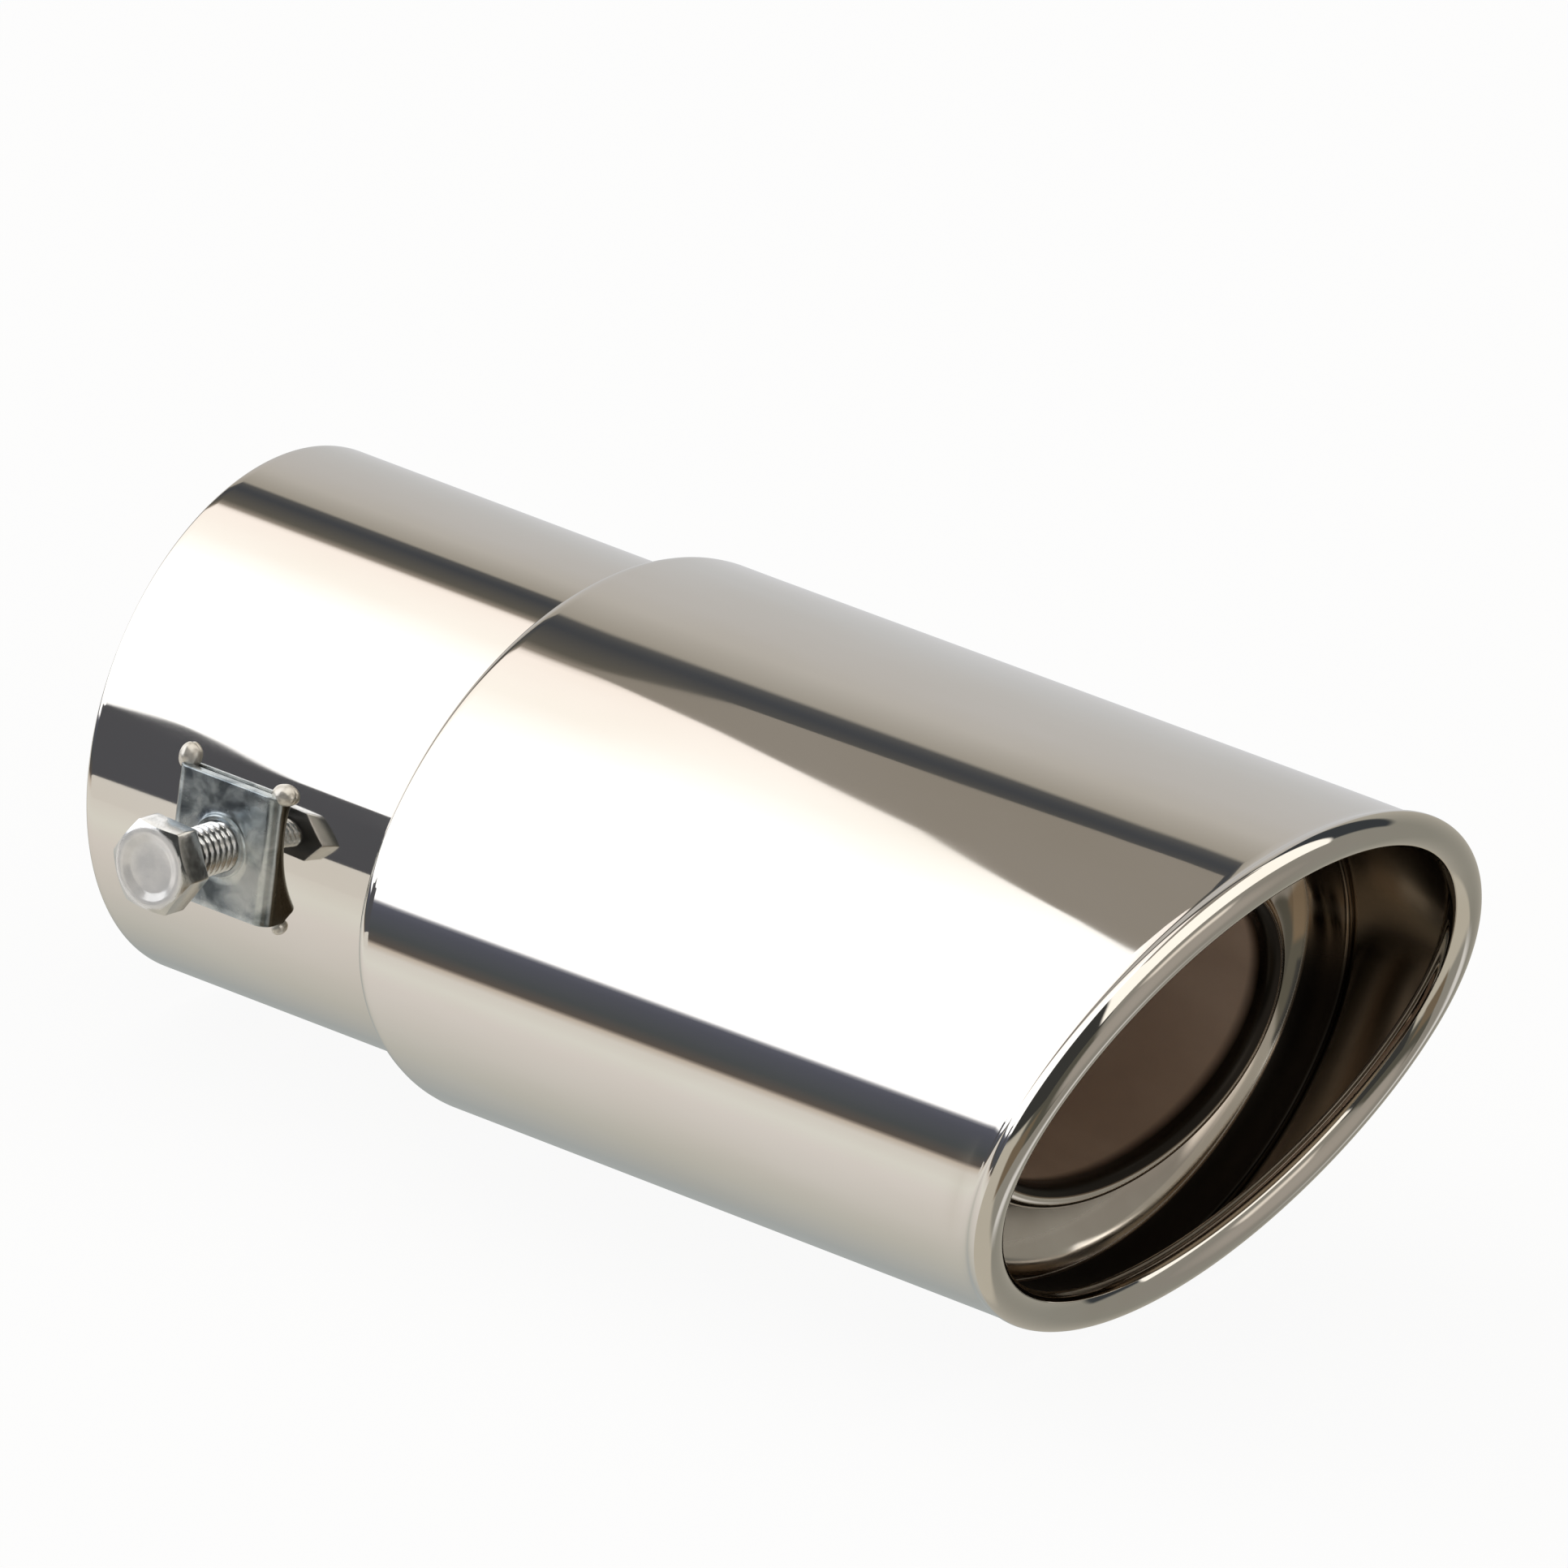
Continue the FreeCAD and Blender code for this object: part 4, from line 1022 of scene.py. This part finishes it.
def plate_patch(depth, rings):
    """The flat plate's surface at this depth under its outer one, with the rings round the hole."""
    half_height = BRACKET_HEIGHT / 2 - BRACKET_EDGE_ROUND
    sides = (-FLAT_HALF, FLAT_HALF, -half_height, half_height)
    outline = window_outline(*sides, PLATE_COLUMNS, PLATE_LINES)
    turns = [math.atan2(z, x) for x, z in outline]
    level = BRACKET_FACE + depth
    rows = [
        [Vector((radius * math.cos(turn), level - height, radius * math.sin(turn))) for turn in turns]
        for radius, height in rings
    ]
    foot = rows[-1]
    for share in spread(0.0, 1.0, PLATE_RINGS)[1:]:
        rows.append([
            Vector((near.x + share * (x - near.x), level, near.z + share * (z - near.z)))
            for near, (x, z) in zip(foot, outline)
        ])
    return rows


def bracket_leg(side, edge, heights):
    """One leg: its two faces, its foot on the collar, and its cut edges."""
    outer = [leg_line(side, 0.0, z) for z in heights]
    inner = [leg_line(side, BRACKET_WALL, z) for z in heights]
    feet = [[line[-1] for line in leg] for leg in (outer, inner)]
    patches = [join_rows(rows, ring=False) for rows in (outer, inner, feet)]
    for end in (-1, 1):
        leg_edge = [leg_line(side, depth, end * reach) for depth, reach in edge]
        tips = [line[-1] for line in leg_edge]
        patches.append(join_rows(leg_edge, ring=False))
        patches.append((tips, [tuple(range(len(tips)))]))
    return patches


def bracket_leg_shade(point):
    """Bare on the plate, painted shade in dark brown from the bend on."""
    brown_from = FLAT_HALF + 0.85 * BRACKET_BEND
    return BROWN * clamp((abs(point.x) - brown_from) / 0.08)


def make_bracket(material):
    edge = edge_rounding(BRACKET_HEIGHT / 2, BRACKET_EDGE_ROUND)
    half_height = BRACKET_HEIGHT / 2 - BRACKET_EDGE_ROUND
    heights = spread(-half_height, half_height, PLATE_LINES)
    flat = spread(-FLAT_HALF, FLAT_HALF, PLATE_COLUMNS)
    outside = plate_patch(0.0, BOSS_RINGS)
    inside = plate_patch(BRACKET_WALL, FLAT_RINGS)
    patches = [join_rows(rows) for rows in (outside, inside, [outside[0], inside[0]])]
    for end in (-1, 1):
        rows = [[Vector((x, BRACKET_FACE + depth, end * reach)) for x in flat] for depth, reach in edge]
        patches.append(join_rows(rows, ring=False))
    for side in (-1, 1):
        patches += bracket_leg(side, edge, heights)
    vertices, faces = join_patches(patches)
    placed = [BRACKET_PLACE @ point for point in vertices]
    finish_and_painted_light = [bracket_leg_shade(point) for point in vertices]
    return store_mesh("bent_bracket", placed, faces, material, sharp=35, finish_and_painted_light=finish_and_painted_light)


# Bolt
def head_outline():
    """The hexagon with slightly rounded corners, as (x, z)."""
    half_corner = 180 / HEAD_CORNERS
    shift = (HEAD_FLATS / 2 - HEAD_CORNER_ROUND) / math.cos(math.radians(half_corner))
    arcs = []
    for corner in range(HEAD_CORNERS):
        middle = HEAD_TURN + corner * 2 * math.pi / HEAD_CORNERS
        centre = (shift * math.cos(middle), shift * math.sin(middle))
        turn = math.degrees(middle)
        ends = (turn - half_corner, turn + half_corner)
        arcs.append(arc_points(centre, HEAD_CORNER_ROUND, *ends, HEAD_CORNER_STEPS))
    points = []
    for arc, following in zip(arcs, arcs[1:] + arcs[:1]):
        (x0, z0), (x1, z1) = arc[-1], following[0]
        points += arc
        for share in spread(0.0, 1.0, HEAD_FLAT_STEPS)[1:-1]:
            points.append((x0 + share * (x1 - x0), z0 + share * (z1 - z0)))
    return points


def crown_y(radius):
    """Height of the head's top at this radius, where it slopes down to the corners."""
    return HEAD_TOP + max(0.0, radius - CROWN_RADIUS) * CROWN_SLOPE


def bolt_ring(turns, radius, y):
    return [Vector((radius * math.cos(turn), y, radius * math.sin(turn))) for turn in turns]


def head_rows(outline, turns):
    """Rings from the middle of the face over the crown, down the sides and in to the neck."""
    reach = [math.hypot(x, z) for x, z in outline]
    rows = [bolt_ring(turns, radius, HEAD_TOP + depth) for radius, depth in FACE_RINGS]
    for share in CROWN_SHARES:
        row = []
        for (x, z), distance in zip(outline, reach):
            radius = CROWN_RADIUS + share * (distance - CROWN_RADIUS)
            scale = radius / distance
            row.append(Vector((x * scale, crown_y(radius), z * scale)))
        rows.append(row)
    for drop in SIDE_DROPS:
        rows.append([Vector((x, crown_y(far) + drop, z)) for (x, z), far in zip(outline, reach)])
    for scale, y in ((1.0, HEAD_SEAT - UNDERSIDE_ROUND), (UNDERSIDE_SCALE, HEAD_SEAT)):
        rows.append([Vector((x * scale, y, z * scale)) for x, z in outline])
    rows.append(bolt_ring(turns, BOLT_RADIUS + NECK_WIDTH, HEAD_SEAT))
    return rows


def thread_rows(turns):
    """Rings down the shank whose radius follows the thread's helix, faded in and tapered at the tip."""
    start = HEAD_SEAT + THREAD_GAP
    steps = int((BOLT_TIP - start) * THREAD_RINGS / THREAD_PITCH)
    rows = []
    for y in spread(start, BOLT_TIP, steps):
        fade = min(1.0, (y - start) / THREAD_FADE)
        taper = max(0.0, y - (BOLT_TIP - TIP_TAPER))
        row = []
        for turn in turns:
            phase = (y / THREAD_PITCH - turn / (2 * math.pi)) % 1.0
            ridge = abs(2 * phase - 1)
            shaped = clamp((ridge - THREAD_CREST) / THREAD_FLANK)
            radius = BOLT_RADIUS - THREAD_DEPTH * (THREAD_MEAN + (shaped - THREAD_MEAN) * fade)
            radius = min(radius, BOLT_RADIUS - taper)
            row.append(Vector((radius * math.cos(turn), y, radius * math.sin(turn))))
        rows.append(row)
    return rows


def bolt_finish_and_shade(point):
    """The head's underside has painted shade, its face is satin, and the rest bare."""
    if HEAD_SEAT - 0.01 < point.y < HEAD_SEAT + 0.25:
        return SHADED_UNDERSIDE
    on_face = point.y < HEAD_TOP + DISH_DEPTH + 0.01
    if on_face and math.hypot(point.x, point.z) < CROWN_RADIUS + 0.1:
        return SATIN_FACE
    return BARE


def make_bolt(material):
    outline = head_outline()
    turns = [math.atan2(z, x) for x, z in outline]
    vertices, faces = cap_rows(head_rows(outline, turns) + thread_rows(turns))
    placed = [BRACKET_PLACE @ point for point in vertices]
    finish_and_painted_light = [bolt_finish_and_shade(point) for point in vertices]
    return store_mesh("thumb_bolt", placed, faces, material, sharp=38, finish_and_painted_light=finish_and_painted_light)


# Tack welds
def weld_lump(centre, radii, seed):
    """A rounded lump with an uneven surface."""
    shift = Vector((seed, 0.0, 0.0))
    rows = []
    for lift in spread(-math.pi / 2 + WELD_POLE, math.pi / 2 - WELD_POLE, WELD_ROWS):
        row = []
        for turn in circle_angles(WELD_COLUMNS):
            flat = math.cos(lift)
            way = Vector((flat * math.cos(turn), math.sin(lift), flat * math.sin(turn)))
            swell = 1.0 + WELD_SWELL * noise.noise(way * WELD_UNEVENNESS + shift)
            row.append(centre + Vector([part * radius * swell for part, radius in zip(way, radii)]))
        rows.append(row)
    return cap_rows(rows)


def make_welds(material):
    lumps = []
    for number, (side, z, radii) in enumerate(WELDS):
        x = side * (BRACKET_WIDTH - BRACKET_WALL) / 2
        centre = Vector((x, on_collar_depth(z) - WELD_STAND, z))
        lumps.append(weld_lump(centre, radii, WELD_SEED_STEP * number + WELD_FIRST_SEED))
    vertices, faces = join_patches(lumps)
    placed = [BRACKET_PLACE @ point for point in vertices]
    return store_mesh("tack_welds", placed, faces, material)


# Studio
def add_panel(tree, base, roll, tilt, panel):
    name, colour, (first, last), left, right, softness = panel
    along = add_range(tree, tilt, 0.0, 1.0, start=first, end=last)
    along.node.label = name
    left_edge = math_node(tree, "MULTIPLY_ADD", along, left[1] - left[0], left[0])
    right_edge = math_node(tree, "MULTIPLY_ADD", along, right[1] - right[0], right[0])
    inside = soft_step(tree, roll, left_edge, softness)
    beyond = math_node(tree, "SUBTRACT", 1.0, soft_step(tree, roll, right_edge, softness))
    after = soft_step(tree, tilt, first, softness)
    before = math_node(tree, "SUBTRACT", 1.0, soft_step(tree, tilt, last, softness))
    across = math_node(tree, "MULTIPLY", inside, beyond)
    within = math_node(tree, "MULTIPLY", after, before)
    return mix_colours(tree, math_node(tree, "MULTIPLY", across, within), base, colour)


def studio_colour(tree):
    """The colour that a mirrored ray meets, by its direction."""
    where = tree.nodes.new("ShaderNodeTexCoord")
    parts = tree.nodes.new("ShaderNodeSeparateXYZ")
    tree.links.new(where.outputs["Generated"], parts.inputs["Vector"])
    near = math_node(tree, "MULTIPLY", parts.outputs["Y"], -1.0)
    behind = math_node(tree, "MULTIPLY", parts.outputs["X"], -1.0)
    degrees = 180 / math.pi
    roll = math_node(tree, "MULTIPLY", math_node(tree, "ARCTAN2", parts.outputs["Z"], near), degrees)
    tilt = math_node(tree, "MULTIPLY", math_node(tree, "ARCCOSINE", behind), degrees)
    turns = math_node(tree, "MULTIPLY_ADD", roll, 1 / 360, 1.0 - BAND_START / 360)
    stops = [((angle - BAND_START) / 360, colour) for angle, colour in STUDIO_BANDS]
    bands = add_ramp(tree, math_node(tree, "FRACT", turns), stops)
    tones = [(angle / 180, colour) for angle, colour in ROOM_TONES]
    room = add_ramp(tree, math_node(tree, "MULTIPLY", tilt, 1 / 180), tones)
    for panel in ROOM_PANELS:
        room = add_panel(tree, room, roll, tilt, panel)
    return mix_colours(tree, soft_step(tree, tilt, ROOM_START, ROOM_SOFTNESS), bands, room)


def add_background(tree, colour):
    node = tree.nodes.new("ShaderNodeBackground")
    fill_socket(tree, node.inputs["Color"], colour)
    return node.outputs["Background"]


def make_world():
    """The camera sees plain white; every other ray meets the studio."""
    world = bpy.data.worlds.new("studio")
    bpy.context.scene.world = world
    world.use_nodes = True
    tree = world.node_tree
    tree.nodes.clear()
    output = tree.nodes.new("ShaderNodeOutputWorld")
    studio = add_background(tree, studio_colour(tree))
    backdrop = add_background(tree, WHITE)
    mixed = mix_shaders(tree, seen_by_camera(tree), studio, backdrop)
    tree.links.new(mixed, output.inputs["Surface"])


def add_glow(tree, colour):
    node = tree.nodes.new("ShaderNodeEmission")
    fill_socket(tree, node.inputs["Color"], colour)
    return node.outputs["Emission"]


def make_card(name, colour, corners):
    material, tree, surface = blank_material(name)
    tree.links.new(add_glow(tree, colour), surface)
    card = store_mesh(name, corners, [tuple(range(len(corners)))], material)
    card.visible_camera = False
    card.visible_diffuse = False
    card.visible_shadow = False


def make_cards():
    make_card("brown_card", CARD_COLOUR, [(x, y, CARD_HEIGHT) for x, y in CARD_OUTLINE])
    for name, colour, outline in (
        ("dark_card", DARK_COLOUR, DARK_TOP + DARK_SIDE + SEAM),
        ("pale_card", PALE_COLOUR, SEAM + PALE_SIDE),
    ):
        make_card(name, colour, [(x, -SIDE_DISTANCE, z) for x, z in outline])


def make_floor():
    level = cad_box[0].z / MM
    sides = ((-1, -1), (1, -1), (1, 1), (-1, 1))
    corners = [(x * FLOOR_HALF, y * FLOOR_HALF, level) for x, y in sides]
    material, tree, surface = blank_material("floor")
    paper = tree.nodes.new("ShaderNodeBsdfDiffuse")
    fill_socket(tree, paper.inputs["Color"], FLOOR_COLOUR)
    lit = mix_shaders(tree, FLOOR_GLOW, paper.outputs["BSDF"], add_glow(tree, WHITE))
    seen = mix_shaders(tree, seen_by_camera(tree), paper.outputs["BSDF"], lit)
    tree.links.new(seen, surface)
    floor = store_mesh("floor", corners, [(0, 1, 2, 3)], material)
    floor.visible_glossy = False


def place_piece(piece, node, body):
    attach(piece, body)
    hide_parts(node)


bpy.context.scene.view_settings.view_transform = "Standard"
make_camera()
make_world()
make_floor()
make_cards()
stainless = make_polished_stainless()
place_piece(make_collar(stainless), "inlet_collar", "tip")
place_piece(make_shell(stainless), "outer_shell", "tip")
place_piece(make_liner(make_liner_stainless()), "inner_liner", "tip")
place_piece(make_bracket(make_zinc_plated_steel()), "clamp_bracket", "tip")
place_piece(make_welds(make_weld_metal()), "bracket_tack_welds", "tip")
place_piece(make_bolt(make_bright_zinc()), "clamp_bolt", "bolt")
